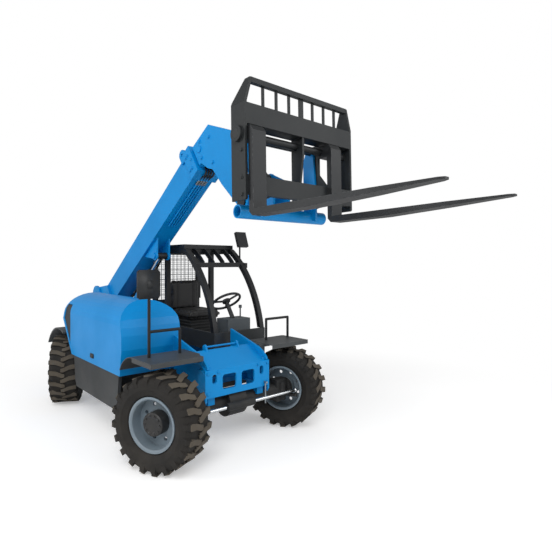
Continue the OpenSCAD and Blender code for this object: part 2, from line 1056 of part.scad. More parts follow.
module pillar_shape() {
    intersection() {
        difference() {
            translate(pillar_centre)
                circle(pillar_r + cab_tube / 2, $fn = 160);
            translate(pillar_centre)
                circle(pillar_r - cab_tube / 2, $fn = 160);
        }
        translate([-60, dash_top + seat_gap])
            square([900, cab_top - roof_t - dash_top - seat_gap]);
    }
}

module cab_frame() {
    post = 420;
    roof_low = cab_top - roof_t;
    color("#1d1f21")
    in_frame() {
        for (y = [cab_right + cab_tube / 2, side_y - cab_tube / 2]) {
            side_plate(y, cab_tube)
                pillar_shape();
            // Door post, rear post and roof rail
            foot = y < (cab_right + side_y) / 2 ? dash_top : cab_floor;
            box(-post - cab_tube, -post, y - cab_tube / 2, y + cab_tube / 2, foot + seat_gap, roof_low);
            box(-cab_rear, -cab_rear + cab_tube, y - cab_tube / 2, y + cab_tube / 2, 1210 + seat_gap, roof_low);
            box(-cab_rear, -30, y - cab_tube / 2, y + cab_tube / 2, roof_low - cab_tube, roof_low);
        }
        box(-cab_rear, -cab_rear + cab_tube, cab_right, side_y, roof_low - cab_tube, roof_low);
        // Cross bars of the front
        translate([pillar_mid.x, cab_right, pillar_mid.y])
            rotate([0, 0, 0])
                translate([-cab_tube / 2, 0, -cab_tube / 2])
                    cube([cab_tube, side_y - cab_right, cab_tube]);
        box(-75, -20, cab_right, side_y, roof_low - cab_tube, roof_low);
        for (i = [1:visor_bars])
            side_plate(cab_right + (side_y - cab_right) * i / (visor_bars + 1), visor_bar_t)
                intersection() {
                    pillar_shape();
                    translate([-45, pillar_mid.y])
                        square([pillar_mid.x + 45, cab_top - pillar_mid.y]);
                }
    }
}

module cab_roof() {
    color("#232527")
    in_frame()
        box(-cab_rear, 0, cab_right, side_y, cab_top - roof_t + seat_gap, cab_top);
}

module cab_mesh() {
    x = -cab_rear + 20;
    y0 = cab_right + cab_tube + seat_gap;
    y1 = side_y - cab_tube - seat_gap;
    z0 = 1210 + seat_gap;
    z1 = cab_top - roof_t - cab_tube - seat_gap;
    nv = 10;
    nh = 9;
    color("#a3a7a8")
    in_frame() {
        for (i = [0:nv])
            translate([x, y0 + (y1 - y0 - 6) * i / nv, z0])
                cube([5, 6, z1 - z0]);
        for (i = [0:nh])
            translate([x + 3, y0, z0 + (z1 - z0 - 6) * i / nh])
                cube([5, y1 - y0, 6]);
    }
}

module seat() {
    mid = (cab_right + side_y) / 2;
    color("#202020")
    in_frame() {
        box(-480, -130, mid - 190, mid + 190, cab_floor + seat_gap, 1010);
        box(-560, -60, mid - 240, mid + 240, 1010, 1120);
        box(-640, -560, mid - 235, mid + 235, 1010, 1490);
    }
}

module console() {
    mid = (cab_right + side_y) / 2;
    color("#565b5e")
    in_frame() {
        difference() {
            box(380, cab_front - cab_wall - seat_gap, mid - 150, mid + 150, cab_floor + seat_gap, 1080);
            at_column()
                cylinder(r = column_r + seat_gap, h = 2 * column_l, center = true);
        }
        // Lever
        translate([450, mid + 120, 1070])
            cylinder(r = 8, h = 120);
        translate([450, mid + 120, 1180])
            cylinder(r = 18, h = 34);
    }
}

column_l = 220;
column_r = 24;

// Steering column, with the wheel's middle at the origin
module at_column() {
    mid = (cab_right + side_y) / 2;
    translate([345, mid, 1255])
        rotate([0, -35, 0])
            children();
}

module steering_wheel() {
    color("#161718")
    in_frame()
        at_column() {
            rotate_extrude()
                translate([165, 0])
                    circle(14, $fn = 12);
            for (a = [30, 150, 270])
                rotate([0, 0, a])
                    translate([30, -12, -8])
                        cube([128, 24, 14]);
            translate([0, 0, -14])
                cylinder(r = 46, h = 28);
            translate([0, 0, -column_l])
                cylinder(r = column_r, h = column_l);
        }
}

// Boom

collar_l = 140;
collar_t = 22;
bracket_t = 20;
pad_l = 120;
ear_r = 55;

module box_tube(x0, x1, w, h, t, mid) {
    difference() {
        translate([x0, -w / 2, mid - h / 2])
            cube([x1 - x0, w, h]);
        translate([x0 - 1, -w / 2 + t, mid - h / 2 + t])
            cube([x1 - x0 + 2, w - 2 * t, h - 2 * t]);
    }
}

module boom_outer() {
    boss = tower_y - tower_t / 2 - 2;
    color("#0b86c9")
    at_boom() {
        difference() {
            union() {
                box_tube(-150, boom_l, boom_w, boom_h, boom_t, boom_mid);
                // Collar and slide pads at the front end
                box_tube(boom_l - collar_l, boom_l, boom_w + 2 * collar_t, boom_h + 2 * collar_t, collar_t + 1, boom_mid);
                box_tube(boom_l - pad_l, boom_l, boom_w - boom_t, boom_h - boom_t, boom_slack + boom_t / 2 - seat_gap, boom_mid);
                both_sides()
                    side_plate(boom_w / 2 + collar_t / 2, collar_t)
                        collar_ear_shape();
                // Rear cheeks round the boom pin
                both_sides()
                    side_plate((boss + boom_w / 2) / 2, boss - boom_w / 2 + 1)
                        cheek_shape();
                // Bracket of the lift cylinder
                both_sides()
                    side_plate(lift_gap / 2 + bracket_t / 2, bracket_t)
                        bracket_shape();
                both_sides()
                    translate([lift_pin_u, lift_gap / 2 + bracket_t, -lift_pin_w])
                        rotate([-90, 0, 0])
                            cylinder(r = lift_pin_r + 8, h = 18);
            }
            bar_y(pivot_r + run_gap, 600);
        }
    }
}

module collar_ear_shape() {
    difference() {
        union() {
            translate([boom_l - collar_l, boom_top + ear_r / 2])
                circle(ear_r);
            translate([boom_l - collar_l - ear_r, boom_top - ear_r])
                square([2 * ear_r, 1.5 * ear_r]);
        }
        translate([boom_l - collar_l, boom_top + ear_r / 2])
            circle(ear_r / 3);
    }
}

module cheek_shape() {
    circle(110);
    polygon([[-150, boom_bottom + 20], [360, boom_bottom + 20], [360, boom_top - 40], [70, 85], [-110, 0], [-150, boom_top - 80]]);
}

module bracket_shape() {
    translate([lift_pin_u, -lift_pin_w])
        circle(52);
    polygon([
        [lift_pin_u - 220, boom_bottom + 4],
        [lift_pin_u + 160, boom_bottom + 4],
        [lift_pin_u + 50, -lift_pin_w - 8],
        [lift_pin_u - 50, -lift_pin_w - 8]
    ]);
}

module boom_pipes() {
    color("#7f878c")
    at_boom()
        for (i = [0:3])
            translate([boom_l - 900, -45 + 30 * i, boom_bottom - 10 - seat_gap])
                rotate([0, 90, 0])
                    cylinder(r = 10, h = 700);
}

head_start = boom_l + 20;

function head_outline() = [
    [head_start, boom_top - boom_t - boom_slack],
    [head_start + 330, boom_top - 40],
    [head_start + 555, boom_top - 352],
    [head_pin_u + 110, -head_pin_w + 130],
    [head_pin_u + 70, -head_pin_w + 30],
    [head_pin_u - 72, -head_pin_w + 30],
    [head_pin_u - 150, -head_pin_w + 330],
    [head_pin_u - 185, -head_pin_w + 545],
    [head_start + 95, -head_pin_w + 612],
    [head_start + 35, boom_bottom + boom_t + boom_slack],
    [head_start, boom_bottom + boom_t + boom_slack]
];

// Unit vector to the left of the way from one point to the next
function left_of(a, b) = [a.y - b.y, b.x - a.x] / norm(b - a);

// Space between the head plates, under the two top plates
function head_hollow() =
    let (p = head_outline(), m = left_of(p[0], p[1]), n = left_of(p[1], p[2]))
    [
        p[0] - head_t * m + 60 * (p[0] - p[1]) / norm(p[0] - p[1]),
        p[1] - head_t * (m + n) / (1 + m * n),
        p[2] - head_t * n + 90 * (p[2] - p[1]) / norm(p[2] - p[1]),
        [head_pin_u + 300, -head_pin_w - 200],
        [head_start - 300, -head_pin_w - 200]
    ];

module head_shape() {
    polygon(head_outline());
    translate([head_pin_u, -head_pin_w])
        circle(78);
}

module boom_inner() {
    rear = 420;
    color("#0b86c9")
    at_boom()
        difference() {
            union() {
                box_tube(rear, head_start + 40, inner_w, inner_h, inner_t, boom_mid);
                // Slide pads at the rear end
                box_tube(rear, rear + pad_l, inner_w + 2 * boom_slack - 2 * seat_gap, inner_h + 2 * boom_slack - 2 * seat_gap, boom_slack + 1, boom_mid);
                // Head, open at its underside and front
                difference() {
                    side_plate(0, head_gap + 2 * head_t)
                        head_shape();
                    side_plate(0, head_gap)
                        polygon(head_hollow());
                }
                both_sides()
                    translate([tilt_base_u, head_gap / 2 + head_t / 2, -tilt_base_w])
                        rotate([-90, 0, 0])
                            cylinder(r = tilt_pin_r + 10, h = head_t / 2 + 10);
            }
            translate([head_pin_u, 0, -head_pin_w])
                bar_y(head_pin_r + run_gap, 400);
            translate([tilt_base_u, 0, -tilt_base_w])
                bar_y(tilt_pin_r + run_gap, head_gap + 2 * head_t);
        }
}

// Lift cylinder, drawn along X from its lower pin

lift_barrel_l = 1330;

module lift_barrel() {
    color("#0b86c9")
    at_lift()
        difference() {
            union() {
                translate([40, 0, 0])
                    rotate([0, 90, 0])
                        cylinder(r = lift_barrel_r, h = lift_barrel_l - 40);
                bar_y(46, lift_gap - 10);
            }
            bar_y(lift_pin_r + run_gap, 400);
            translate([110, 0, 0])
                rotate([0, 90, 0])
                    cylinder(r = lift_barrel_r - 10, h = lift_barrel_l - 140);
            translate([110, 0, 0])
                rotate([0, 90, 0])
                    cylinder(r = lift_rod_r + run_gap, h = lift_barrel_l);
        }
}

module lift_rod() {
    color("#c9cdd0")
    at_lift() {
        translate([lift_l - lift_rod_l, 0, 0])
            rotate([0, 90, 0])
                cylinder(r = lift_rod_r, h = lift_rod_l);
        translate([lift_l, 0, 0])
            bar_y(38, lift_gap - 14);
        translate([lift_l - lift_rod_l, 0, 0])
            rotate([0, 90, 0])
                cylinder(r = lift_barrel_r - 10 - run_gap, h = 40);
    }
}

lift_rod_l = 1260;

// Tilt cylinder, drawn along X from its base pin

tilt_show = 304;
tilt_piston_x = 257;
tilt_piston_t = 12;
tilt_barrel_l = tilt_l - tilt_show;
tilt_rod_l = tilt_l - tilt_piston_x;

module tilt_pin() {
    color("#3a3d40")
    at_tilt()
        bar_y(tilt_pin_r, head_gap + 2 * head_t - 2 * seat_gap);
}

module tilt_barrel() {
    color("#1d1f21")
    at_tilt()
        difference() {
            union() {
                translate([30, 0, 0])
                    rotate([0, 90, 0])
                        cylinder(r = tilt_barrel_r, h = tilt_barrel_l - 30);
                bar_y(tilt_barrel_r, head_gap - 40);
            }
            bar_y(tilt_pin_r + run_gap, 400);
            translate([70, 0, 0])
                rotate([0, 90, 0])
                    cylinder(r = tilt_barrel_r - 8, h = tilt_barrel_l - 95);
            translate([70, 0, 0])
                rotate([0, 90, 0])
                    cylinder(r = tilt_rod_r + run_gap, h = tilt_barrel_l);
        }
}

module tilt_rod() {
    color("#c9cdd0")
    at_tilt() {
        translate([tilt_piston_x, 0, 0])
            rotate([0, 90, 0]) {
                cylinder(r = tilt_rod_r, h = tilt_rod_l);
                cylinder(r = tilt_barrel_r - 8 - run_gap, h = tilt_piston_t);
            }
        translate([tilt_l, 0, 0])
            bar_y(40, 110);
    }
}

// Coupler and fork carriage, drawn level from the coupler pin

module head_pin() {
    reach = head_gap / 2 + head_t + seat_gap;
    color("#3a3d40")
    at_carriage() {
        bar_y(head_pin_r, 2 * reach + 20);
        both_sides()
            translate([0, reach + 8, 0])
                bar_y(head_pin_r + 16, 16);
    }
}

lug_y = head_gap / 2 - 5 - 10;
lug_t = 20;
hook_x = 420;
hook_z = 400;
hook_r = 25;
lock_z = -60;
lock_r = 20;
mount_y = coupler_y + lug_t + seat_gap;
tube_x = 390;
tube_z = -150;
tube_r = 52;
tube_half = 460;

module lug_shape() {
    circle(72);
    translate([tilt_eye_x, tilt_eye_z])
        circle(48);
    polygon([
        [-40, 60],
        [tilt_eye_x - 40, tilt_eye_z + 27],
        [tilt_eye_x + 36, tilt_eye_z + 32],
        [380, 130],
        [380, tube_z],
        [0, -72]
    ]);
}

module coupler_side_shape() {
    difference() {
        polygon([
            [340, tube_z],
            [478, tube_z - 40],
            [478, 60],
            [460, 330],
            [460, 420],
            [380, 430],
            [340, 330]
        ]);
        // Hook for the cross shaft of the carriage
        translate([hook_x, hook_z])
            circle(hook_r + seat_gap);
        translate([hook_x - hook_r - seat_gap, hook_z])
            square([2 * hook_r + 2 * seat_gap, 100]);
    }
}

module coupler() {
    color("#0b86c9")
    at_carriage() {
        difference() {
            union() {
                both_sides() {
                    side_plate(lug_y, lug_t)
                        lug_shape();
                    side_plate(coupler_y, lug_t)
                        coupler_side_shape();
                }
                box(340, 420, -coupler_y, coupler_y, 80, 130);
                translate([tube_x, 0, tube_z])
                    bar_y(tube_r, 2 * tube_half);
            }
            translate([tube_x, 0, tube_z])
                both_sides()
                    translate([0, tube_half, 0])
                        bar_y(tube_r - 12, 200);
            bar_y(head_pin_r + run_gap, 400);
        }
        // Lock pins
        both_sides()
            translate([hook_x, mount_y, lock_z])
                bar_y(lock_r, 3 * lug_t + 20);
        // Heads of the upper pin
        both_sides()
            translate([tilt_eye_x, lug_y + lug_t / 2 - 2, tilt_eye_z])
                rotate([90, 0, 0])
                    cylinder(r = 22, h = 4, center = true);
    }
}

bend_z = 590;
top_in = 52;
band_low = 450;
band_high = 578;
bar_count = 7;

module carriage_side_shape() {
    polygon([
        [carriage_back, -carriage_low],
        [carriage_face - 10, -carriage_low],
        [carriage_face, -carriage_low + 10],
        [carriage_face, bend_z],
        [carriage_back, bend_z]
    ]);
}

module carriage_frame() {
    inner = carriage_half - carriage_t;
    color("#2d3031")
    at_carriage() {
        difference() {
            union() {
                both_sides() {
                    side_plate(carriage_half - carriage_t / 2, carriage_t)
                        carriage_side_shape();
                    leaning_post();
                }
                // Middle web
                side_plate(0, carriage_t)
                    polygon([
                        [carriage_back + 30, -60],
                        [carriage_face - 60, -60],
                        [carriage_face - 6, 300],
                        [carriage_face - 6, band_high],
                        [carriage_back + 30, band_high]
                    ]);
                // Band, lower bar and top bar
                box(carriage_face - carriage_t, carriage_face, -inner, inner, band_low, band_high);
                box(carriage_back + 30, carriage_face, -inner, inner, band_low - 20, band_low);
                box(carriage_face - 40, carriage_face, -inner, inner, -60, 75);
                // Mounts for the coupler
                both_sides()
                    side_plate(mount_y, lug_t)
                        polygon([
                            [hook_x - 40, -90],
                            [carriage_face - 35, -58],
                            [carriage_face - 35, 75],
                            [carriage_back + 20, 200],
                            [carriage_back + 20, band_low - 25],
                            [carriage_back + 40, band_low],
                            [hook_x - 40, band_low]
                        ]);
                translate([hook_x, 0, hook_z])
                    bar_y(hook_r, 2 * mount_y);
                // Bosses of the fork shaft
                both_sides()
                    translate([560, carriage_half + 12, shaft_z])
                        bar_y(58, 24);
                both_sides()
                    box(carriage_back + 30, carriage_back + 60, 0, inner, band_low - 20, band_low + 20);
            }
            translate([560, 0, shaft_z])
                bar_y(shaft_r + run_gap, 3000);
            both_sides()
                translate([hook_x, mount_y, lock_z])
                    bar_y(lock_r + run_gap, 200);
        }
        top_guard();
    }
}

// Upper end of the side plate, bent inward and swept forward
module leaning_post() {
    rise = carriage_high - bend_z;
    lean = atan2(top_in, rise);
    translate([0, carriage_half, bend_z])
        rotate([lean, 0, 0])
            translate([0, -carriage_t, -6])
                rotate([90, 0, 0])
                    translate([0, 0, -carriage_t])
                        linear_extrude(carriage_t)
                            polygon([
                                [carriage_back + 4, 0],
                                [carriage_face, 0],
                                [carriage_face, rise / cos(lean)],
                                [carriage_face - 60, rise / cos(lean)],
                                [carriage_back + 4, 20]
                            ]);
}

module top_guard() {
    half = carriage_half - top_in - 8;
    pitch = 2 * half / (bar_count + 1);
    box(carriage_face - 40, carriage_face - 2, -half, half, carriage_high - 42, carriage_high - 4);
    for (i = [1:bar_count])
        translate([carriage_face - 28, -half + pitch * i, band_high - 20])
            translate([-7, i == 4 ? -22 : -10, 0])
                cube([14, i == 4 ? 44 : 20, carriage_high - 20 - band_high]);
}

module fork_shaft() {
    color("#55595c")
    at_carriage()
        translate([560, 0, shaft_z])
            bar_y(shaft_r, 2 * carriage_half + 48);
}

module fork(y) {
    eye_r = shaft_r + 20;
    translate([0, y, 0])
        difference() {
            union() {
                side_plate(0, fork_w)
                    polygon([
                        [shank_x, shaft_z + 10],
                        [shank_x, -fork_low + 30],
                        [shank_x + 30, -fork_low],
                        [blade_x + fork_l * 0.35, -fork_low],
                        [blade_x + fork_l, -fork_low + fork_t - 12],
                        [blade_x + fork_l, -fork_low + fork_t],
                        [blade_x, -fork_low + fork_t],
                        [blade_x, shaft_z + 10]
                    ]);
                side_plate(0, fork_w)
                    union() {
                        translate([560, shaft_z])
                            circle(eye_r);
                        polygon([
                            [560, shaft_z - eye_r],
                            [shank_x + 20, shaft_z - eye_r],
                            [blade_x, shaft_z + 10],
                            [shank_x + 20, shaft_z + eye_r],
                            [560, shaft_z + eye_r]
                        ]);
                    }
            }
            translate([560, 0, shaft_z])
                bar_y(shaft_r + run_gap, 2 * fork_w);
            // Rounded and tapered tip
            both_sides()
                translate([blade_x + fork_l * 0.7, fork_w / 2, -fork_low - 50])
                    linear_extrude(200)
                        polygon([[0, 0.1], [fork_l * 0.3 - 30, -fork_w * 0.22], [fork_l * 0.3, -fork_w * 0.36], [fork_l * 0.3 + 5, 20], [0, 20]]);
        }
}

module forks() {
    color("#26292a")
    at_carriage() {
        fork(-fork_right_y);
        fork(fork_left_y);
    }
}

main_frame();
front_nose();
counterweight();
front_axle();
rear_axle();
driveline();
engine();
engine_skirt();
fuel_tank();
front_fenders();
rear_fenders();
mirrors();
cab_tub();
cab_frame();
cab_roof();
cab_mesh();
seat();
console();
steering_wheel();
engine_hood();
hood_grille();
boom_outer();
boom_pipes();
boom_inner();
lift_barrel();
lift_rod();
tilt_pin();
tilt_barrel();
tilt_rod();
head_pin();
coupler();
carriage_frame();
fork_shaft();
forks();
knuckle_fr();
knuckle_fl();
knuckle_rr();
knuckle_rl();
rim_fr();
rim_fl();
rim_rr();
rim_rl();
tyre_fr();
tyre_fl();
tyre_rr();
tyre_rl();
steer_rod_front();
steer_rod_rear();
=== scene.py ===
"""Dress a compact telehandler: paint, rubber, steel, padding, hoses and a plain studio."""

import logging
import math
from dataclasses import dataclass
from enum import Enum
from typing import Sequence, Union

import bmesh
import bpy
from mathutils import Matrix, Vector


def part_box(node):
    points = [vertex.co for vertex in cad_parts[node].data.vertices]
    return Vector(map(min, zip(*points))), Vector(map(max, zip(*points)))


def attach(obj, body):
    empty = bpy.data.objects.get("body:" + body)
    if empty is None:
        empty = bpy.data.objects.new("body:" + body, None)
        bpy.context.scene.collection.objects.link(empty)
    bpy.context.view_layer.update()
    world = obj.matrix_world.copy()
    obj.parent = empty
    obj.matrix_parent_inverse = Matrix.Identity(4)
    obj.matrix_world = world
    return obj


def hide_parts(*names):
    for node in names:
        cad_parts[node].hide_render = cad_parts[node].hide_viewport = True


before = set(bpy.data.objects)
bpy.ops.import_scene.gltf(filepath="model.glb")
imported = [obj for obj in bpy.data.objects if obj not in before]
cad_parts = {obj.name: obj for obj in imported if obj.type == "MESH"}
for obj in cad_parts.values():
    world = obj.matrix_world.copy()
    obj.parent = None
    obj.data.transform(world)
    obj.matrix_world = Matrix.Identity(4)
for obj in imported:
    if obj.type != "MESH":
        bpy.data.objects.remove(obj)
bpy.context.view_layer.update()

LOG = logging.getLogger("telehandler")

Colour = tuple[float, float, float]
Place = tuple[float, float, float]
Span = tuple[float, float]
Spots = Sequence[tuple[Vector, Vector]]
Tree = bpy.types.NodeTree
Node = bpy.types.Node
Socket = bpy.types.NodeSocket
Feed = Union[Socket, Colour, float]

WHITE = (1.0, 1.0, 1.0, 1.0)
BEVEL_SAMPLES = 4
SOFT_RADIUS = 0.004
BUMP_STRENGTH = 0.6
COAT_ROUGHNESS = 0.12
ROUGH_LOW = 0.88
ROUGH_HIGH = 1.12
DUST_ROUGHNESS = 0.95
MIX_SOCKETS = {"RGBA": (6, 7, 2), "FLOAT": (2, 3, 0)}


def linear(code: str) -> Colour:
    """Turn a hex colour as seen on screen into linear light, by the usual screen curve.

    Args:
        code: Six hex digits.

    Returns:
        Red, green and blue in linear light.
    """
    def channel(pair: str) -> float:
        """Return one channel in linear light."""
        value = int(pair, 16) / 255
        return value / 12.92 if value <= 0.04045 else ((value + 0.055) / 1.055) ** 2.4

    return channel(code[0:2]), channel(code[2:4]), channel(code[4:6])


def feed(tree: Tree, socket: Socket, value: Feed) -> None:
    """Feed a socket from another socket, a colour or a plain number.

    Args:
        tree: Tree that holds the socket.
        socket: Socket that is fed.
        value: What feeds it.
    """
    if isinstance(value, tuple):
        socket.default_value = (*value, 1.0)
    elif isinstance(value, (int, float)):
        socket.default_value = value
    else:
        tree.links.new(value, socket)


def mapped(tree: Tree, value: Socket, ends: dict[str, float]) -> Node:
    """Add a node that maps a value from one range to another.

    Args:
        tree: Tree that gets the node.
        value: Socket that is mapped.
        ends: Ends of the ranges that aren't none or full, by socket name.

    Returns:
        The new node.
    """
    node = tree.nodes.new("ShaderNodeMapRange")
    for name, end in ends.items():
        node.inputs[name].default_value = end
    tree.links.new(value, node.inputs["Value"])
    return node


def mixed(tree: Tree, data_type: str, mask: Socket, under: Feed, over: Feed) -> Socket:
    """Mix two colours or two values by a mask.

    Args:
        tree: Tree that gets the node.
        data_type: RGBA for colours, FLOAT for values.
        mask: Share of the second one.
        under: The first one.
        over: The second one.

    Returns:
        The mixed socket.
    """
    first, second, result = MIX_SOCKETS[data_type]
    node = tree.nodes.new("ShaderNodeMix")
    node.data_type = data_type
    tree.links.new(mask, node.inputs["Factor"])
    feed(tree, node.inputs[first], under)
    feed(tree, node.inputs[second], over)
    return node.outputs[result]


class Effect(Enum):
    """Shader node groups that several finishes share."""

    WEAR = "edge_wear"
    DUST = "settled_dust"
    GRAIN = "surface_grain"


class EffectGroups:
    """Builds each shared node group once and hands it to the materials."""

    detail: dict[Effect, float] = {Effect.WEAR: 6.0, Effect.DUST: 8.0, Effect.GRAIN: 3.0}
    edge_range: Span = (0.985, 0.80)
    worn_range: Span = (0.42, 0.62)
    low_range: Span = (1.0, 0.0)
    top_range: Span = (0.35, 1.0)
    top_share: float = 0.35
    cloud_range: Span = (0.30, 0.72)
    tone_range: Span = (0.3, 0.7)
    tone_scale: float = 2.3
    tone_detail: float = 4.0

    def __init__(self) -> None:
        """Build the three groups."""
        self.groups: dict[Effect, Tree] = {}
        self._wear()
        self._dust()
        self._grain()

    def _start(
        self, effect: Effect, inputs: dict[str, float], outputs: Sequence[str],
    ) -> tuple[Tree, Node, Node, Socket]:
        """Open a new group with an object coordinate source.

        Args:
            effect: Which group is made.
            inputs: Socket names and their first values.
            outputs: Names of the values put out.

        Returns:
            The tree, its input node, its output node and the coordinate socket.
        """
        tree = bpy.data.node_groups.new(effect.value, "ShaderNodeTree")
        for name, value in inputs.items():
            socket = tree.interface.new_socket(name, in_out="INPUT", socket_type="NodeSocketFloat")
            socket.default_value = value
        for name in outputs:
            tree.interface.new_socket(name, in_out="OUTPUT", socket_type="NodeSocketFloat")
        source = tree.nodes.new("NodeGroupInput")
        result = tree.nodes.new("NodeGroupOutput")
        coords = tree.nodes.new("ShaderNodeTexCoord")
        self.groups[effect] = tree
        return tree, source, result, coords.outputs["Object"]

    @staticmethod
    def _noise(tree: Tree, coords: Socket, scale: Feed, detail: float) -> Socket:
        """Add a noise texture.

        Args:
            tree: Tree that gets the node.
            coords: Coordinates of the noise.
            scale: Its scale, as a value or a socket.
            detail: How fine it breaks up.

        Returns:
            The noise as a value.
        """
        node = tree.nodes.new("ShaderNodeTexNoise")
        node.inputs["Detail"].default_value = detail
        tree.links.new(coords, node.inputs["Vector"])
        feed(tree, node.inputs["Scale"], scale)
        return node.outputs["Fac"]

    @staticmethod
    def _math(tree: Tree, operation: str, first: Feed, second: Feed) -> Socket:
        """Add one math node.

        Args:
            tree: Tree that gets the node.
            operation: What it works out.
            first: Its first number or socket.
            second: Its second number or socket.

        Returns:
            The result, kept between none and full unless it divides.
        """
        node = tree.nodes.new("ShaderNodeMath")
        node.operation = operation
        node.use_clamp = operation in ("MULTIPLY", "ADD")
        feed(tree, node.inputs[0], first)
        feed(tree, node.inputs[1], second)
        return node.outputs[0]

    @staticmethod
    def _ramp(tree: Tree, value: Socket, ends: Span) -> Socket:
        """Stretch a value so that the first end becomes none and the second becomes full.

        Args:
            tree: Tree that gets the node.
            value: Socket that is stretched.
            ends: Both ends.

        Returns:
            The stretched value.
        """
        low, high = ends
        return mapped(tree, value, {"From Min": low, "From Max": high}).outputs["Result"]

    def _mask(self, tree: Tree, parts: tuple[Socket, Socket], source: Node, result: Node) -> None:
        """Put out the product of two values and the group's amount.

        Args:
            tree: Tree of the group.
            parts: The two values.
            source: Input node of the group.
            result: Output node of the group.
        """
        mask = self._math(tree, "MULTIPLY", *parts)
        mask = self._math(tree, "MULTIPLY", mask, source.outputs["Amount"])
        tree.links.new(mask, result.inputs["Mask"])

    def _wear(self) -> None:
        """Rubbed edges: where the rounded normal leaves the flat one, broken up by noise."""
        tree, source, result, coords = self._start(
            Effect.WEAR, {"Radius": 0.006, "Scale": 40.0, "Amount": 0.5}, ["Mask"]
        )
        soft = tree.nodes.new("ShaderNodeBevel")
        soft.samples = BEVEL_SAMPLES
        tree.links.new(source.outputs["Radius"], soft.inputs["Radius"])
        flat = tree.nodes.new("ShaderNodeNewGeometry")
        turn = tree.nodes.new("ShaderNodeVectorMath")
        turn.operation = "DOT_PRODUCT"
        tree.links.new(soft.outputs["Normal"], turn.inputs[0])
        tree.links.new(flat.outputs["Normal"], turn.inputs[1])
        edge = self._ramp(tree, turn.outputs["Value"], self.edge_range)
        noise = self._noise(tree, coords, source.outputs["Scale"], self.detail[Effect.WEAR])
        self._mask(tree, (edge, self._ramp(tree, noise, self.worn_range)), source, result)

    def _dust(self) -> None:
        """Dust that lies on top faces and thickens towards the ground."""
        tree, source, result, coords = self._start(
            Effect.DUST, {"Height": 0.9, "Scale": 7.0, "Amount": 0.5}, ["Mask"]
        )
        place = tree.nodes.new("ShaderNodeSeparateXYZ")
        tree.links.new(coords, place.inputs["Vector"])
        low = self._math(tree, "DIVIDE", place.outputs["Z"], source.outputs["Height"])
        low = self._ramp(tree, low, self.low_range)
        low = self._math(tree, "MULTIPLY", low, low)
        facing = tree.nodes.new("ShaderNodeNewGeometry")
        split = tree.nodes.new("ShaderNodeSeparateXYZ")
        tree.links.new(facing.outputs["Normal"], split.inputs["Vector"])
        upward = self._ramp(tree, split.outputs["Z"], self.top_range)
        upward = self._math(tree, "MULTIPLY", upward, self.top_share)
        lying = self._math(tree, "ADD", low, upward)
        noise = self._noise(tree, coords, source.outputs["Scale"], self.detail[Effect.DUST])
        self._mask(tree, (lying, self._ramp(tree, noise, self.cloud_range)), source, result)

    def _grain(self) -> None:
        """Fine height for bump and a slow change of tone."""
        tree, source, result, coords = self._start(Effect.GRAIN, {"Scale": 300.0}, ["Height", "Tone"])
        fine = self._noise(tree, coords, source.outputs["Scale"], self.detail[Effect.GRAIN])
        slow = self._noise(tree, coords, self.tone_scale, self.tone_detail)
        tree.links.new(fine, result.inputs["Height"])
        tree.links.new(self._ramp(tree, slow, self.tone_range), result.inputs["Tone"])


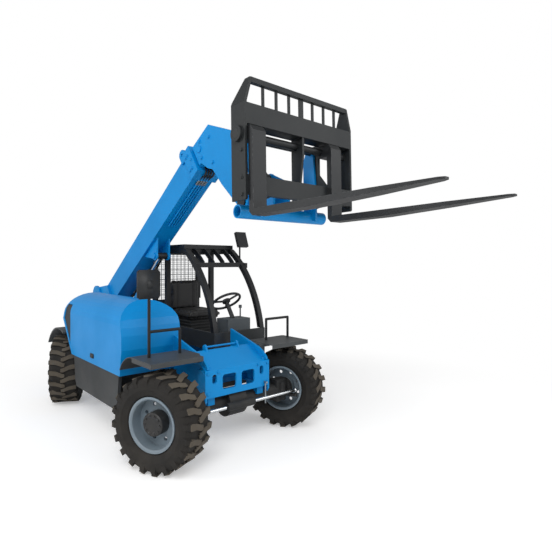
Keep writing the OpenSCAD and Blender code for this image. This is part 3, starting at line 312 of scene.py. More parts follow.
@dataclass(frozen=True)
class Finish:
    """One surface finish, made into a material on first use."""

    name: str
    colour: str
    tone: str
    roughness: float
    metallic: float = 0.0
    specular: float = 0.5
    coat: float = 0.0
    grain_scale: float = 300.0
    grain_depth: float = 0.0004
    wear: float = 0.0
    wear_colour: str = "8c8f92"
    dust: float = 0.15
    dust_colour: str = "8b8377"
    dust_height: float = 0.9

    @property
    def label(self) -> str:
        """Name of the material, apart from the names of the frame's own materials."""
        return f"finish_{self.name}"

    def material(self) -> bpy.types.Material:
        """Return the material of this finish, built once."""
        made = bpy.data.materials.get(self.label)
        return made if made else self._build()

    def _build(self) -> bpy.types.Material:
        """Lay colour, wear, dust and grain into one Principled shader.

        Returns:
            The new material.
        """
        material = bpy.data.materials.new(self.label)
        material.use_nodes = True
        material.diffuse_color = (*linear(self.colour), 1.0)
        tree = material.node_tree
        shader = tree.nodes["Principled BSDF"]
        shader.inputs["Metallic"].default_value = self.metallic
        shader.inputs["Specular IOR Level"].default_value = self.specular
        shader.inputs["Coat Weight"].default_value = self.coat
        shader.inputs["Coat Roughness"].default_value = COAT_ROUGHNESS
        grain = self._place(tree, Effect.GRAIN, {"Scale": self.grain_scale})
        tone = grain.outputs["Tone"]
        colour = mixed(tree, "RGBA", tone, linear(self.colour), linear(self.tone))
        ends = {"To Min": self.roughness * ROUGH_LOW, "To Max": min(self.roughness * ROUGH_HIGH, 1.0)}
        rough = mapped(tree, tone, ends).outputs["Result"]
        if self.wear > 0:
            wear = self._place(tree, Effect.WEAR, {"Amount": self.wear}).outputs["Mask"]
            colour = mixed(tree, "RGBA", wear, colour, linear(self.wear_colour))
        if self.dust > 0:
            amounts = {"Amount": self.dust, "Height": self.dust_height}
            dust = self._place(tree, Effect.DUST, amounts).outputs["Mask"]
            colour = mixed(tree, "RGBA", dust, colour, linear(self.dust_colour))
            rough = mixed(tree, "FLOAT", dust, rough, DUST_ROUGHNESS)
        tree.links.new(colour, shader.inputs["Base Color"])
        tree.links.new(rough, shader.inputs["Roughness"])
        tree.links.new(self._relief(tree, grain.outputs["Height"]), shader.inputs["Normal"])
        return material

    def _relief(self, tree: Tree, height: Socket) -> Socket:
        """Lay the grain's bump over softly rounded edges.

        Args:
            tree: Tree of the material.
            height: Height of the grain.

        Returns:
            The normal of the surface.
        """
        bump = tree.nodes.new("ShaderNodeBump")
        bump.inputs["Distance"].default_value = self.grain_depth
        bump.inputs["Strength"].default_value = BUMP_STRENGTH
        tree.links.new(height, bump.inputs["Height"])
        soft = tree.nodes.new("ShaderNodeBevel")
        soft.samples = BEVEL_SAMPLES
        soft.inputs["Radius"].default_value = SOFT_RADIUS
        tree.links.new(soft.outputs["Normal"], bump.inputs["Normal"])
        return bump.outputs["Normal"]

    @staticmethod
    def _place(tree: Tree, effect: Effect, values: dict[str, float]) -> Node:
        """Put a shared group in this material with its own values.

        Args:
            tree: Tree of the material.
            effect: Which group.
            values: Its values by socket name.

        Returns:
            The group's node.
        """
        node = tree.nodes.new("ShaderNodeGroup")
        node.node_tree = EFFECTS.groups[effect]
        for name, value in values.items():
            node.inputs[name].default_value = value
        return node


EFFECTS = EffectGroups()

BLUE = Finish(
    "blue_paint", "008ad2", "0083c8", 0.42, specular=0.22, coat=0.06,
    wear=0.12, wear_colour="2f8fcc", dust=0.015,
)
CHARCOAL = Finish("charcoal_paint", "2f3234", "282b2d", 0.58, wear=0.25, dust=0.10)
BLACK = Finish(
    "black_satin_paint", "16171a", "1d1f21", 0.46, specular=0.35,
    wear=0.22, wear_colour="5d6062", dust=0.06,
)
CARRIAGE = Finish(
    "carriage_paint", "1e2122", "25282a", 0.5, specular=0.3,
    wear=0.22, wear_colour="6a6d6e", dust=0.06,
)
FENDER = Finish("grey_fender_plate", "3e4244", "36393b", 0.52, wear=0.3, dust=0.12)
CAST = Finish(
    "cast_iron", "222426", "2c2e30", 0.7, metallic=0.3, grain_scale=120, grain_depth=0.001, dust=0.25,
)
FORK_STEEL = Finish(
    "forged_fork_steel", "1d1f21", "292b2d", 0.5, metallic=0.3, wear=0.4, grain_scale=160, dust=0.05,
)
CHROME = Finish("chromed_rod", "d9dcde", "cfd3d6", 0.14, metallic=1.0, grain_depth=0.00005, dust=0.05)
PLATED = Finish("plated_steel", "9aa1a5", "868d91", 0.36, metallic=0.8, dust=0.1)
RIM = Finish("rim_paint", "7d8b94", "717f8a", 0.45, wear=0.3, dust=0.15)
HUB = Finish("hub_paint", "17181a", "202123", 0.5, wear=0.2, dust=0.2)
RUBBER = Finish(
    "tyre_rubber", "1d1c1b", "262422", 0.8, specular=0.3, grain_scale=180, grain_depth=0.0012,
    dust=0.10, dust_height=1.4,
)
TREAD = Finish(
    "worn_tread", "4a443c", "585147", 0.9, specular=0.3, grain_scale=90, grain_depth=0.002,
    dust=0.25, dust_height=1.6,
)
PLASTIC = Finish("moulded_plastic", "202224", "282a2c", 0.6, grain_scale=700, dust=0.1)
GREY_PLASTIC = Finish("grey_console", "50565a", "484e52", 0.62, grain_scale=700, dust=0.12)
ZINC = Finish("zinc_mesh", "b9bdbe", "a8acad", 0.4, metallic=0.6, dust=0.08)
VINYL = Finish("black_vinyl", "1c1c1d", "242425", 0.5, grain_scale=900, grain_depth=0.0006, dust=0.1)
HOSE = Finish("hose_rubber", "141516", "1d1e1f", 0.62, grain_scale=500, dust=0.12)
GLASS = Finish("mirror_glass", "c7d0d6", "bcc6cc", 0.06, metallic=1.0, grain_depth=0.0, dust=0.0)

NODE_FINISHES: dict[Finish, tuple[str, ...]] = {
    BLUE: (
        "main_frame", "front_nose", "boom_outer", "boom_inner", "boom_pipes", "lift_barrel", "coupler",
        "engine_hood",
    ),
    CHARCOAL: ("engine_skirt", "cab_tub", "counterweight", "fuel_tank"),
    BLACK: ("cab_frame", "cab_roof", "mirrors", "tilt_barrel", "tilt_pin", "head_pin"),
    CARRIAGE: ("carriage_frame",),
    FENDER: ("front_fenders", "rear_fenders"),
    CAST: (
        "front_axle", "rear_axle", "driveline", "engine",
        "knuckle_fr", "knuckle_fl", "knuckle_rr", "knuckle_rl",
    ),
    FORK_STEEL: ("forks", "fork_shaft"),
    CHROME: ("lift_rod", "tilt_rod", "steer_rod_front", "steer_rod_rear"),
    RIM: ("rim_fr", "rim_fl", "rim_rr", "rim_rl"),
    RUBBER: ("tyre_fr", "tyre_fl", "tyre_rr", "tyre_rl"),
    PLASTIC: ("hood_grille", "steering_wheel"),
    GREY_PLASTIC: ("console",),
    ZINC: ("cab_mesh",),
    VINYL: ("seat",),
}


class Body(Enum):
    """Moving bodies that pieces of the scene ride on."""

    CHASSIS = "chassis"
    HOOD = "hood"
    BOOM = "boom"
    INNER = "inner"
    CARRIAGE = "carriage"
    WHEEL_FR = "wheel_fr"
    WHEEL_FL = "wheel_fl"
    WHEEL_RR = "wheel_rr"
    WHEEL_RL = "wheel_rl"


@dataclass(frozen=True)
class Layout:
    """Where the drawing's zero, boom and carriage lie in the shared frame, in metres."""

    shift: Place = (-0.698264, 0.0, -0.020)
    pivot: Place = (-1.800, 0.0, 1.240)
    boom_angle: float = math.radians(34.0)
    head_pin: Place = (3.260, 0.0, -1.015)
    fork_tilt: float = math.radians(1.2)

    def frame(self, x: float, y: float, z: float) -> Vector:
        """Return the place of a point of the drawing."""
        return Vector((x, y, z)) + Vector(self.shift)

    def boom_matrix(self) -> Matrix:
        """Return the frame with X along the boom and its zero on the pivot."""
        turn = Matrix.Rotation(-self.boom_angle, 4, "Y")
        return Matrix.Translation(self.frame(*self.pivot)) @ turn

    def boom(self, u: float, y: float, w: float) -> Vector:
        """Return a point given along, beside and above the boom."""
        return self.boom_matrix() @ Vector((u, y, w))

    def carriage(self, x: float, y: float, z: float) -> Vector:
        """Return a point given ahead of, beside and above the head pin."""
        turn = Matrix.Rotation(-self.fork_tilt, 4, "Y")
        return Matrix.Translation(self.boom(*self.head_pin)) @ turn @ Vector((x, y, z))


LAYOUT = Layout()


def linked(name: str, data: bpy.types.ID) -> bpy.types.Object:
    """Link a mesh, a light or a camera into the scene as an object.

    Args:
        name: Name of the object.
        data: What it shows.

    Returns:
        The new object.
    """
    made = bpy.data.objects.new(name, data)
    bpy.context.scene.collection.objects.link(made)
    return made


def add_piece(name: str, mesh: bpy.types.Mesh, finish: Finish, body: Body) -> None:
    """Link a mesh as a piece that rides on a body.

    Args:
        name: Name of the piece.
        mesh: Its mesh, in the shared frame.
        finish: Its finish.
        body: The body that it moves with.
    """
    mesh.materials.clear()
    mesh.materials.append(finish.material())
    piece = linked(name, mesh)
    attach(piece, body.value)
    LOG.info("added %s with %d faces on %s", name, len(mesh.polygons), body.value)


def smooth(mesh: bpy.types.Mesh) -> None:
    """Shade all faces of a mesh smooth."""
    mesh.polygons.foreach_set("use_smooth", [True] * len(mesh.polygons))


def finished(name: str, work: bmesh.types.BMesh) -> bpy.types.Mesh:
    """Turn a worked mesh into a stored one and free it.

    Args:
        name: Name of the mesh.
        work: The worked mesh.

    Returns:
        The stored mesh.
    """
    mesh = bpy.data.meshes.new(name)
    work.to_mesh(mesh)
    work.free()
    return mesh


def round_edges(work: bmesh.types.BMesh, edges: Sequence, radius: float, segments: int) -> None:
    """Round some edges of a worked mesh.

    Args:
        work: The worked mesh.
        edges: Its edges that are rounded.
        radius: Radius of the rounding.
        segments: Steps of the rounding.
    """
    bmesh.ops.bevel(work, geom=list(edges), offset=radius, segments=segments, affect="EDGES")


def tube_mesh(name: str, path: Sequence[Vector], radius: float, rounds: int = 12) -> bpy.types.Mesh:
    """Sweep a round section along a smooth path through the given points.

    Args:
        name: Name of the mesh.
        path: Points that the middle line passes.
        radius: Radius of the section.
        rounds: Corners of the section.

    Returns:
        The closed tube as a mesh.
    """
    curve = bpy.data.curves.new(name, "CURVE")
    curve.dimensions = "3D"
    curve.bevel_depth = radius
    curve.bevel_resolution = max(1, rounds // 4 - 1)
    curve.use_fill_caps = True
    spline = curve.splines.new("BEZIER")
    spline.bezier_points.add(len(path) - 1)
    for point, place in zip(spline.bezier_points, path):
        point.co = place
        point.handle_left_type = "AUTO"
        point.handle_right_type = "AUTO"
    spline.resolution_u = 10
    holder = bpy.data.objects.new(name, curve)
    mesh = bpy.data.meshes.new_from_object(holder)
    bpy.data.objects.remove(holder)
    bpy.data.curves.remove(curve)
    mesh.name = name
    smooth(mesh)
    return mesh


def joined(name: str, meshes: Sequence[bpy.types.Mesh]) -> bpy.types.Mesh:
    """Put several meshes into one and drop the single ones.

    Args:
        name: Name of the new mesh.
        meshes: The single ones.

    Returns:
        The new mesh.
    """
    work = bmesh.new()
    for mesh in meshes:
        work.from_mesh(mesh)
    result = finished(name, work)
    for mesh in meshes:
        bpy.data.meshes.remove(mesh)
    return result


def filled(middle: Vector, size: Place) -> Matrix:
    """Return the matrix that makes a unit cube fill a box of the given middle and size."""
    return Matrix.Translation(middle) @ Matrix.Diagonal((*size, 1.0))


def slab_mesh(name: str, matrix: Matrix, radius: float) -> bpy.types.Mesh:
    """Return a slab with rounded edges that fills a unit cube under a matrix.

    Args:
        name: Name of the mesh.
        matrix: Place and size of the slab.
        radius: Radius of its edges.

    Returns:
        The slab as a mesh.
    """
    work = bmesh.new()
    bmesh.ops.create_cube(work, size=1.0, matrix=matrix)
    round_edges(work, work.edges, radius, 3)
    mesh = finished(name, work)
    smooth(mesh)
    return mesh


@dataclass(frozen=True)
class HeadStep:
    """One step of a bolt head. Its lengths are shares of the head's radius."""

    corners: int
    wide: float
    low: float
    high: float
    draft: float = 0.96
    chamfer: float = 0.0


HEAD_STEPS = (HeadStep(16, 1.45, -0.004, 0.18), HeadStep(6, 1.0, 0.0, 0.80, chamfer=0.07))


def bolt_heads(name: str, spots: Spots, radius: float) -> bpy.types.Mesh:
    """Model hexagon heads on washers.

    Args:
        name: Name of the mesh.
        spots: Foot and outward direction of each head.
        radius: Radius over the corners.

    Returns:
        All heads in one mesh.
    """
    work = bmesh.new()
    for foot, out in spots:
        place = Matrix.Translation(foot) @ out.to_track_quat("Z", "Y").to_matrix().to_4x4()
        for step in HEAD_STEPS:
            made = bmesh.ops.create_cone(
                work, cap_ends=True, segments=step.corners,
                radius1=radius * step.wide, radius2=radius * step.wide * step.draft,
                depth=radius * (step.high - step.low),
                matrix=place @ Matrix.Translation((0.0, 0.0, radius * (step.high + step.low) / 2)),
            )
            if step.chamfer > 0:
                edges = {edge for vert in made["verts"] for edge in vert.link_edges}
                round_edges(work, edges, radius * step.chamfer, 1)
    return finished(name, work)


@dataclass
class Wheels:
    """Tread and hub finishes of the four wheels, and their wheel nuts."""

    tyre_r: float = 0.395
    tread_depth: float = 0.010
    hub_r: float = 0.095
    hub_margin: float = 0.003
    hub_out: float = 0.116
    steer: float = math.radians(25.0)
    nut_circle: float = 0.072
    nut_count: int = 10
    nut_r: float = 0.011

    def dress(self) -> None:
        """Split each wheel into its finishes and add its nuts."""
        for end, sign in (("f", 1.0), ("r", -1.0)):
            for side, out in (("r", -1.0), ("l", 1.0)):
                self._wheel(end + side, sign, out)

    def _wheel(self, key: str, sign: float, out: float) -> None:
        """Dress one wheel.

        Args:
            key: Letters of the end and the side.
            sign: One at the front, minus one at the rear.
            out: One on the left, minus one on the right.
        """
        low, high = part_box(f"tyre_{key}")
        centre = (Vector(low) + Vector(high)) / 2
        axis = Matrix.Rotation(sign * self.steer, 3, "Z") @ Vector((0.0, out, 0.0))
        self._split(f"tyre_{key}", (centre, axis), TREAD, self.tyre_r - self.tread_depth, True)
        self._split(f"rim_{key}", (centre, axis), HUB, self.hub_r + self.hub_margin, False)
        self._nuts(key, centre, axis)

    @staticmethod
    def _split(
        name: str, line: tuple[Vector, Vector], finish: Finish, radius: float, outside: bool,
    ) -> None:
        """Give the faces of a node outside or inside a radius a second finish.

        Args:
            name: Name of the node.
            line: Middle and direction of the wheel's axis.
            finish: The second finish.
            radius: Where it starts or ends.
            outside: Whether it is the outer one.
        """
        centre, axis = line
        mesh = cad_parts[name].data
        mesh.materials.append(finish.material())
        for face in mesh.polygons:
            arm = face.center - centre
            reach = (arm - arm.dot(axis) * axis).length
            face.material_index = int((reach > radius) == outside)
        LOG.info("split %s by %s", name, finish.name)

    def _nuts(self, key: str, centre: Vector, axis: Vector) -> None:
        """Set a ring of nuts on the face of a hub.

        Args:
            key: Letters of the end and the side.
            centre: Middle of the wheel.
            axis: Its outward axis.
        """
        across = Vector((0.0, 0.0, 1.0))
        along = axis.cross(across)
        face = centre + axis * self.hub_out
        spots = []
        for index in range(self.nut_count):
            turn = 2 * math.pi * index / self.nut_count
            arm = math.cos(turn) * along + math.sin(turn) * across
            spots.append((face + self.nut_circle * arm, axis))
        name = f"hub_nuts_{key}"
        add_piece(name, bolt_heads(name, spots, self.nut_r), HUB, Body(f"wheel_{key}"))


@dataclass
class RodEyes:
    """Dark forged eyes at the ends of the chromed lift and tilt rods, placed in the drawing."""

    lift_eye: Place = (-0.2297, 0.0, 1.7733)
    tilt_eye: Place = (1.6162, 0.0, 2.4166)
    reach: float = 0.060

    def dress(self) -> None:
        """Give the faces round each eye a black finish."""
        for name, eye in (("lift_rod", self.lift_eye), ("tilt_rod", self.tilt_eye)):
            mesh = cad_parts[name].data
            mesh.materials.append(BLACK.material())
            middle = LAYOUT.frame(*eye)
            for face in mesh.polygons:
                arm = face.center - middle
                face.material_index = int(math.hypot(arm.x, arm.z) < self.reach)
            LOG.info("eye of %s is black", name)


@dataclass
class Fasteners:
    """Bolt heads on the boom's collar, its head, the nose and the carriage.

    Each pattern lists the places of its bolts in the frame of its own body, and repeats on both sides.
    """

    collar_side: float = 0.142
    collar_r: float = 0.013
    collar: tuple[Span, ...] = (
        (2.800, -0.075), (2.840, -0.075), (2.800, -0.240), (2.840, -0.240), (2.870, -0.155),
    )
    head_side: float = 0.117
    head_r: float = 0.016
    head: tuple[Span, ...] = ((3.060, -0.090), (3.200, -0.170), (3.000, -0.250), (3.120, -0.420))
    nose_front: float = 1.270
    nose_r: float = 0.012
    nose: tuple[Span, ...] = ((0.335, 0.735), (0.335, 0.560), (0.225, 0.735))
    carriage_side: float = 0.572
    carriage_r: float = 0.013
    carriage: tuple[Span, ...] = ((0.600, -0.060), (0.600, 0.060), (0.600, 0.250))

    def build(self) -> None:
        """Place the heads on each body."""
        ahead = Vector((1.0, 0.0, 0.0))
        boom, inner, nose, carriage = [], [], [], []
        for side in (-1.0, 1.0):
            out = Vector((0.0, side, 0.0))
            boom += [(LAYOUT.boom(u, side * self.collar_side, w), out) for u, w in self.collar]
            inner += [(LAYOUT.boom(u, side * self.head_side, w), out) for u, w in self.head]
            nose += [(LAYOUT.frame(self.nose_front, side * y, z), ahead) for y, z in self.nose]
            carriage += [(LAYOUT.carriage(x, side * self.carriage_side, z), out) for x, z in self.carriage]
        for name, spots, radius, finish, body in (
            ("boom_bolts", boom, self.collar_r, BLUE, Body.BOOM),
            ("head_bolts", inner, self.head_r, BLUE, Body.INNER),
            ("nose_bolts", nose, self.nose_r, BLUE, Body.CHASSIS),
            ("carriage_bolts", carriage, self.carriage_r, CARRIAGE, Body.CARRIAGE),
        ):
            add_piece(name, bolt_heads(name, spots, radius), finish, body)


@dataclass
class Hoses:
    """Hydraulic hoses: the clamped run under the foot of the boom and the loops at its front end."""

    radius: float = 0.011
    count: int = 2
    foot_y: float = 0.080
    foot_pitch: float = 0.025
    foot_w: float = -0.316
    foot_from: float = 0.450
    foot_to: float = 1.450
    foot_bend: float = 0.030
    strap_shares: tuple[float, ...] = (0.15, 0.5, 0.85)
    strap_l: float = 0.030
    strap_margin: float = 0.020
    strap_t: float = 0.006
    strap_rounding: float = 0.002
    pipe_end: float = 2.705
    pipe_y: tuple[float, ...] = (-0.045, -0.015, 0.015, 0.045)
    pipe_w: float = -0.3133
    overlap: float = 0.010
    fitting_l: float = 0.060
    fitting_wide: float = 1.15
    fitting_rounds: int = 8
    loop_thin: float = 0.8
    loop: tuple[Span, ...] = ((0.110, -0.012), (0.170, -0.030), (0.205, -0.012), (0.215, 0.040))

    def build(self) -> None:
        """Lay both sets of hoses."""
        self._foot()
        self._front()

    def _foot(self) -> None:
        """Clamped bundle along the underside of the boom, beside the lift cylinder."""
        hoses, straps = [], []
        bend = self.foot_bend
        path = (
            (self.foot_from - bend, self.foot_w + bend),
            (self.foot_from + bend, self.foot_w),
            ((self.foot_from + self.foot_to) / 2, self.foot_w),
            (self.foot_to - bend, self.foot_w),
            (self.foot_to + bend, self.foot_w + bend),
        )
        for index in range(self.count):
            y = self.foot_y + self.foot_pitch * index
            points = [LAYOUT.boom(u, y, w) for u, w in path]
            hoses.append(tube_mesh(f"foot_hose_{index}", points, self.radius))
        middle = self.foot_y + self.foot_pitch * (self.count - 1) / 2
        size = (self.strap_l, self.foot_pitch * self.count + self.strap_margin, self.strap_t)
        for share in self.strap_shares:
            u = self.foot_from + (self.foot_to - self.foot_from) * share
            box = filled(Vector((u, middle, self.foot_w - self.radius)), size)
            straps.append(slab_mesh("strap", LAYOUT.boom_matrix() @ box, self.strap_rounding))
        add_piece("foot_hoses", joined("foot_hoses", hoses), HOSE, Body.BOOM)
        add_piece("foot_straps", joined("foot_straps", straps), PLATED, Body.BOOM)

    def _front(self) -> None:
        """Steel fittings and short loops into the boom section."""
        fittings, loops = [], []
        fitting_end = self.pipe_end + self.fitting_l
        stub = ((self.pipe_end - self.overlap, self.pipe_w), (fitting_end, self.pipe_w))
        path = [(fitting_end - self.overlap, self.pipe_w)]
        path += [(self.pipe_end + along, self.pipe_w + above) for along, above in self.loop]
        for index, y in enumerate(self.pipe_y):
            points = [LAYOUT.boom(u, y, w) for u, w in stub]
            wide = self.radius * self.fitting_wide
            fittings.append(tube_mesh(f"fitting_{index}", points, wide, self.fitting_rounds))
            points = [LAYOUT.boom(u, y, w) for u, w in path]
            loops.append(tube_mesh(f"loop_{index}", points, self.radius * self.loop_thin))
        add_piece("pipe_fittings", joined("pipe_fittings", fittings), PLATED, Body.BOOM)
        add_piece("front_hoses", joined("front_hoses", loops), HOSE, Body.BOOM)


@dataclass
class RearScreen:
    """Fine wires between the bars of the rear screen."""

    pitch: float = 0.026
    wire: float = 0.0022
    rounds: int = 4

    def build(self) -> None:
        """Weave the wires inside the box of the coarse screen."""
        low, high = (Vector(corner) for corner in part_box("cab_mesh"))
        x = (low.x + high.x) / 2
        ends = [((y, low.z), (y, high.z)) for y in self._between(low.y, high.y)]
        ends += [((low.y, z), (high.y, z)) for z in self._between(low.z, high.z)]
        meshes = []
        for start, stop in ends:
            points = [Vector((x, *start)), Vector((x, *stop))]
            meshes.append(tube_mesh("wire", points, self.wire, self.rounds))
        add_piece("screen_wires", joined("screen_wires", meshes), ZINC, Body.CHASSIS)

    def _between(self, low: float, high: float) -> list[float]:
        """Return even places between two ends, about one pitch apart."""
        steps = int((high - low) / self.pitch)
        return [low + (high - low) * index / steps for index in range(1, steps)]


@dataclass
class Seat:
    """Suspension seat: a bellows foot, a base cushion and a backrest with side bolsters."""

    middle: float = 0.509
    voxel: float = 0.008
    pressure: float = 4.0
    cloth_quality: int = 4
    swell: float = 0.014
    frames: int = 20
    rounding: float = 0.028
    groove_at: float = 0.112
    groove_depth: float = 0.010
    groove_width: float = 0.011
    folds: int = 6
    fold_depth: float = 0.016
    fold_rounding: float = 0.004
    base_box: tuple[Span, Span, Span] = ((-0.555, -0.065), (-0.230, 0.230), (1.022, 1.108))
    back_box: tuple[Span, Span, Span] = ((-0.632, -0.568), (-0.222, 0.222), (1.075, 1.478))
    foot_box: tuple[Span, Span, Span] = ((-0.475, -0.145), (-0.175, 0.175), (0.797, 1.016))
    carrier_box: tuple[Span, Span, Span] = ((-0.636, -0.560), (-0.180, 0.180), (1.014, 1.080))

    def build(self) -> None:
        """Model the foot and stuff both cushions."""
        self._foot()
        base = self._block("seat_base", *self.base_box)
        back = self._block("seat_back", *self.back_box)
        for piece in (base, back):
            self._stuff(piece)
            self._sew(piece)
            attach(piece, Body.CHASSIS.value)
        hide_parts("seat")
        LOG.info("seat stuffed with %d and %d faces", len(base.data.polygons), len(back.data.polygons))

    def _foot(self) -> None:
        """Bellows under the base, wider at each fold, with a plate that carries the backrest."""
        work = bmesh.new()
        (back, front), (right, left), (low, high) = self.foot_box
        rings = self.folds * 2
        for index in range(rings):
            grow = 0.0 if index % 2 else self.fold_depth
            z = (low + (high - low) * index / rings, low + (high - low) * (index + 1) / rings)
            ring = self._box((back - grow, front + grow), (right - grow, left + grow), z)
            bmesh.ops.create_cube(work, size=1.0, matrix=ring)
        bmesh.ops.create_cube(work, size=1.0, matrix=self._box(*self.carrier_box))
        round_edges(work, work.edges, self.fold_rounding, 2)
        add_piece("seat_foot", finished("seat_foot", work), PLASTIC, Body.CHASSIS)

    def _box(self, x: Span, y: Span, z: Span) -> Matrix:
        """Return the matrix that makes a unit cube fill a box of the drawing.

        Args:
            x: Ends along the machine.
            y: Ends across it, from the middle of the seat.
            z: Ends in height.

        Returns:
            The matrix in the shared frame.
        """
        middle = LAYOUT.frame(sum(x) / 2, self.middle + sum(y) / 2, sum(z) / 2)
        return filled(middle, (x[1] - x[0], y[1] - y[0], z[1] - z[0]))

    def _block(self, name: str, x: Span, y: Span, z: Span) -> bpy.types.Object:
        """Start a cushion as a rounded block in even cells.

        Args:
            name: Name of the cushion.
            x: Ends along the machine.
            y: Ends across it, from the middle of the seat.
            z: Ends in height.

        Returns:
            The cushion.
        """
        work = bmesh.new()
        bmesh.ops.create_cube(work, size=1.0, matrix=self._box(x, y, z))
        round_edges(work, work.edges, self.rounding, 4)
        piece = linked(name, finished(name, work))
        remesh = piece.modifiers.new("cells", "REMESH")
        remesh.mode = "VOXEL"
        remesh.voxel_size = self.voxel
        self._apply(piece)
        piece.data.materials.append(VINYL.material())
        return piece

    @staticmethod
    def _apply(piece: bpy.types.Object) -> None:
        """Replace a piece's mesh by its modified one."""
        depsgraph = bpy.context.evaluated_depsgraph_get()
        mesh = bpy.data.meshes.new_from_object(piece.evaluated_get(depsgraph))
        piece.modifiers.clear()
        piece.data = mesh

    def _stuff(self, piece: bpy.types.Object) -> None:
        """Blow the cushion up under cloth pressure and cap its swelling."""
        start = [vert.co.copy() for vert in piece.data.vertices]
        cloth = piece.modifiers.new("stuffing", "CLOTH")
        cloth.settings.use_pressure = True
        cloth.settings.uniform_pressure_force = self.pressure
        cloth.settings.effector_weights.gravity = 0.0
        cloth.settings.quality = self.cloth_quality
        cloth.point_cache.frame_end = self.frames
        for number in range(1, self.frames + 1):
            bpy.context.scene.frame_set(number)
        self._apply(piece)
        bpy.context.scene.frame_set(1)
        for vert, home in zip(piece.data.vertices, start):
            move = vert.co - home
            if move.length > self.swell:
                vert.co = home + move * (self.swell / move.length)

    def _sew(self, piece: bpy.types.Object) -> None:
        """Press sewn channels into the cushion and refine it once."""
        mesh = piece.data
        normals = [vert.normal.copy() for vert in mesh.vertices]
        for vert, normal in zip(mesh.vertices, normals):
            away = abs(abs(vert.co.y - self.middle) - self.groove_at)
            vert.co -= normal * self.groove_depth * math.exp(-((away / self.groove_width) ** 2))
        smooth(mesh)
        piece.modifiers.new("refine", "SUBSURF").levels = 1


@dataclass
class SmallParts:
    """The right mirror, the drop pin of the nose and the catch of the hood."""

    mirror_at: Place = (1.034, -0.765, 1.515)
    mirror_size: Place = (0.050, 0.204, 0.244)
    mirror_rounding: float = 0.016
    clamp_size: Place = (0.030, 0.050, 0.070)
    clamp_rounding: float = 0.006
    glass_t: float = 0.004
    glass_edge: float = 0.015
    pin_at: Place = (1.285, 0.300, 0.560)
    pin_drop: float = 0.200
    pin_r: float = 0.008
    pin_arm: float = 0.025
    pin_head_wide: float = 1.25
    catch_at: Place = (-0.050, -0.853, 0.760)
    catch_size: Place = (0.090, 0.010, 0.045)
    catch_rounding: float = 0.003

    def build(self) -> None:
        """Add each small part."""
        self._mirror()
        self._nose_pin()
        self._hood_catch()

    def _mirror(self) -> None:
        """Rounded housing, clamp and glass of the right mirror."""
        middle = LAYOUT.frame(*self.mirror_at)
        deep, wide, tall = self.mirror_size
        half = Vector((deep / 2, 0.0, 0.0))
        housing = slab_mesh("housing", filled(middle, self.mirror_size), self.mirror_rounding)
        clamp = slab_mesh("clamp", filled(middle + half, self.clamp_size), self.clamp_rounding)
        add_piece("mirror_housing", joined("mirror_housing", [housing, clamp]), PLASTIC, Body.CHASSIS)
        pane = (self.glass_t, wide - 2 * self.glass_edge, tall - 2 * self.glass_edge)
        glass = slab_mesh("mirror_glass", filled(middle - half, pane), self.glass_t / 3)
        add_piece("mirror_glass", glass, GLASS, Body.CHASSIS)

    def _nose_pin(self) -> None:
        """Steel drop pin that hangs at the left toe of the nose."""
        top = LAYOUT.frame(*self.pin_at)
        shaft = tube_mesh("pin_shaft", [top, top - Vector((0.0, 0.0, self.pin_drop))], self.pin_r)
        arm = Vector((self.pin_arm, 0.0, 0.0))
        head = tube_mesh("pin_head", [top - arm, top + arm], self.pin_r * self.pin_head_wide)
        add_piece("nose_pin", joined("nose_pin", [shaft, head]), PLATED, Body.CHASSIS)

    def _hood_catch(self) -> None:
        """Black catch low on the side of the hood."""
        box = filled(LAYOUT.frame(*self.catch_at), self.catch_size)
        add_piece("hood_catch", slab_mesh("hood_catch", box, self.catch_rounding), PLASTIC, Body.HOOD)


@dataclass(frozen=True)
class Lamp:
    """One square lamp: its place and side in metres and its power in watts."""

    name: str
    place: Place
    power: float
    size: float


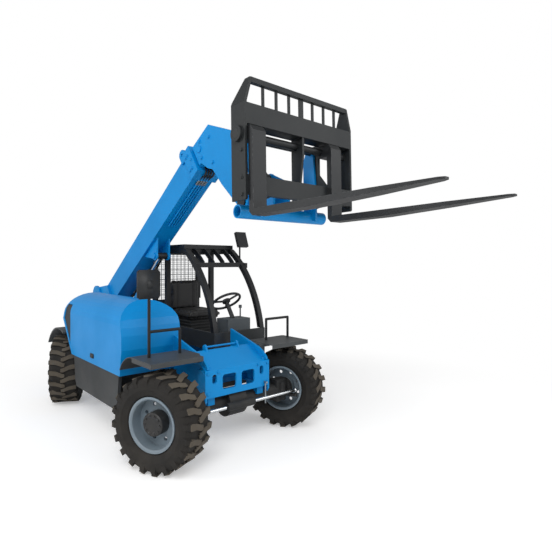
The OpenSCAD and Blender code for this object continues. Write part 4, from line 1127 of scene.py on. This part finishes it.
@dataclass
class Studio:
    """Plain pale floor, soft light and the camera of the photograph."""

    camera_place: Place = (3.871, -2.465, 1.685)
    camera_turn: float = 48.553
    focal_pixels: float = 450.94
    image_pixels: float = 552.0
    horizon_row: float = 261.7
    sensor: float = 36.0
    clip_end: float = 200.0
    floor_size: float = 60.0
    floor_shade: float = 0.90
    floor_roughness: float = 0.9
    floor_glow: float = 0.30
    white_from: float = 2.6
    white_to: float = 5.0
    soft_light: float = 0.45
    lamp_aim: Place = (0.0, 0.0, 1.2)
    lamps: tuple[Lamp, ...] = (
        Lamp("key_lamp", (5.5, -5.0, 7.0), 430.0, 5.0),
        Lamp("side_lamp", (-3.0, -7.5, 4.0), 200.0, 4.0),
        Lamp("fill_lamp", (6.5, 4.0, 4.5), 160.0, 4.0),
    )

    def build(self) -> None:
        """Make the floor, the world, the lamps and the camera."""
        self._floor()
        self._world()
        for lamp in self.lamps:
            self._hang(lamp)
        self._camera()

    def _floor(self) -> None:
        """Lay a pale floor that keeps the shadow and fades to white for the camera."""
        mesh = bpy.data.meshes.new("floor")
        half = self.floor_size / 2
        corners = [(-half, -half, 0), (half, -half, 0), (half, half, 0), (-half, half, 0)]
        mesh.from_pydata(corners, [], [(0, 1, 2, 3)])
        floor = linked("floor", mesh)
        material = bpy.data.materials.new("pale_floor")
        material.use_nodes = True
        tree = material.node_tree
        shader = tree.nodes["Principled BSDF"]
        feed(tree, shader.inputs["Base Color"], (self.floor_shade,) * 3)
        shader.inputs["Roughness"].default_value = self.floor_roughness
        shader.inputs["Specular IOR Level"].default_value = 0.0
        glow = self._whitened(tree.nodes.new("ShaderNodeEmission"), self.floor_glow)
        both = tree.nodes.new("ShaderNodeAddShader")
        tree.links.new(shader.outputs[0], both.inputs[0])
        tree.links.new(glow.outputs[0], both.inputs[1])
        white = self._whitened(tree.nodes.new("ShaderNodeEmission"), 1.0)
        far = self._blended(tree, self._distance(tree), both, white)
        pick = self._blended(tree, self._seen_rays(tree), shader, far)
        tree.links.new(pick.outputs[0], tree.nodes["Material Output"].inputs["Surface"])
        mesh.materials.append(material)

    @staticmethod
    def _whitened(node: Node, strength: float) -> Node:
        """Make a source of light white.

        Args:
            node: The source.
            strength: Its strength.

        Returns:
            The same node.
        """
        node.inputs["Color"].default_value = WHITE
        node.inputs["Strength"].default_value = strength
        return node

    @staticmethod
    def _blended(tree: Tree, mask: Socket, under: Node, over: Node) -> Node:
        """Mix two shaders by a mask.

        Args:
            tree: Tree that gets the node.
            mask: Share of the second shader.
            under: The first shader.
            over: The second shader.

        Returns:
            The mixing node.
        """
        node = tree.nodes.new("ShaderNodeMixShader")
        for socket, source in zip(node.inputs, (mask, under.outputs[0], over.outputs[0])):
            tree.links.new(source, socket)
        return node

    def _distance(self, tree: Tree) -> Socket:
        """Return a socket that goes from none near the machine to full far away."""
        place = tree.nodes.new("ShaderNodeNewGeometry")
        reach = tree.nodes.new("ShaderNodeVectorMath")
        reach.operation = "LENGTH"
        tree.links.new(place.outputs["Position"], reach.inputs[0])
        ends = {"From Min": self.white_from, "From Max": self.white_to}
        fade = mapped(tree, reach.outputs["Value"], ends)
        fade.interpolation_type = "SMOOTHSTEP"
        return fade.outputs["Result"]

    @staticmethod
    def _seen_rays(tree: Tree) -> Socket:
        """Return a socket that is one for rays from the camera."""
        return tree.nodes.new("ShaderNodeLightPath").outputs["Is Camera Ray"]

    def _world(self) -> None:
        """Surround the scene with white for the camera and soft light for the object."""
        world = bpy.data.worlds.new("studio")
        bpy.context.scene.world = world
        world.use_nodes = True
        tree = world.node_tree
        light = self._whitened(tree.nodes["Background"], self.soft_light)
        white = self._whitened(tree.nodes.new("ShaderNodeBackground"), 1.0)
        pick = self._blended(tree, self._seen_rays(tree), light, white)
        tree.links.new(pick.outputs[0], tree.nodes["World Output"].inputs["Surface"])

    def _hang(self, lamp: Lamp) -> None:
        """Hang one lamp that faces the machine."""
        data = bpy.data.lights.new(lamp.name, "AREA")
        data.energy = lamp.power
        data.size = lamp.size
        hung = linked(lamp.name, data)
        hung.location = lamp.place
        aim = Vector(self.lamp_aim) - Vector(lamp.place)
        hung.rotation_euler = aim.to_track_quat("-Z", "Y").to_euler()

    def _camera(self) -> None:
        """Set the level camera with the lens and rise of the photograph."""
        data = bpy.data.cameras.new("camera")
        data.sensor_width = self.sensor
        data.lens = self.sensor * self.focal_pixels / self.image_pixels
        data.shift_y = (self.horizon_row - self.image_pixels / 2) / self.image_pixels
        data.clip_end = self.clip_end
        camera = linked("camera", data)
        camera.location = self.camera_place
        camera.rotation_euler = (math.radians(90), 0.0, math.radians(self.camera_turn))
        bpy.context.scene.camera = camera


def dress_nodes() -> None:
    """Give every node of the frame its finish."""
    for finish, names in NODE_FINISHES.items():
        for name in names:
            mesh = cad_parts[name].data
            mesh.materials.clear()
            mesh.materials.append(finish.material())
            LOG.info("dressed %s in %s", name, finish.name)


def main() -> None:
    """Build the studio and dress the machine."""
    logging.basicConfig(level=logging.INFO, format="%(name)s: %(message)s")
    bpy.context.scene.view_settings.view_transform = "Standard"
    dress_nodes()
    for part in (Wheels(), RodEyes()):
        part.dress()
    for part in (Fasteners(), Hoses(), RearScreen(), Seat(), SmallParts()):
        part.build()
    Studio().build()


if __name__ == "__main__":
    main()
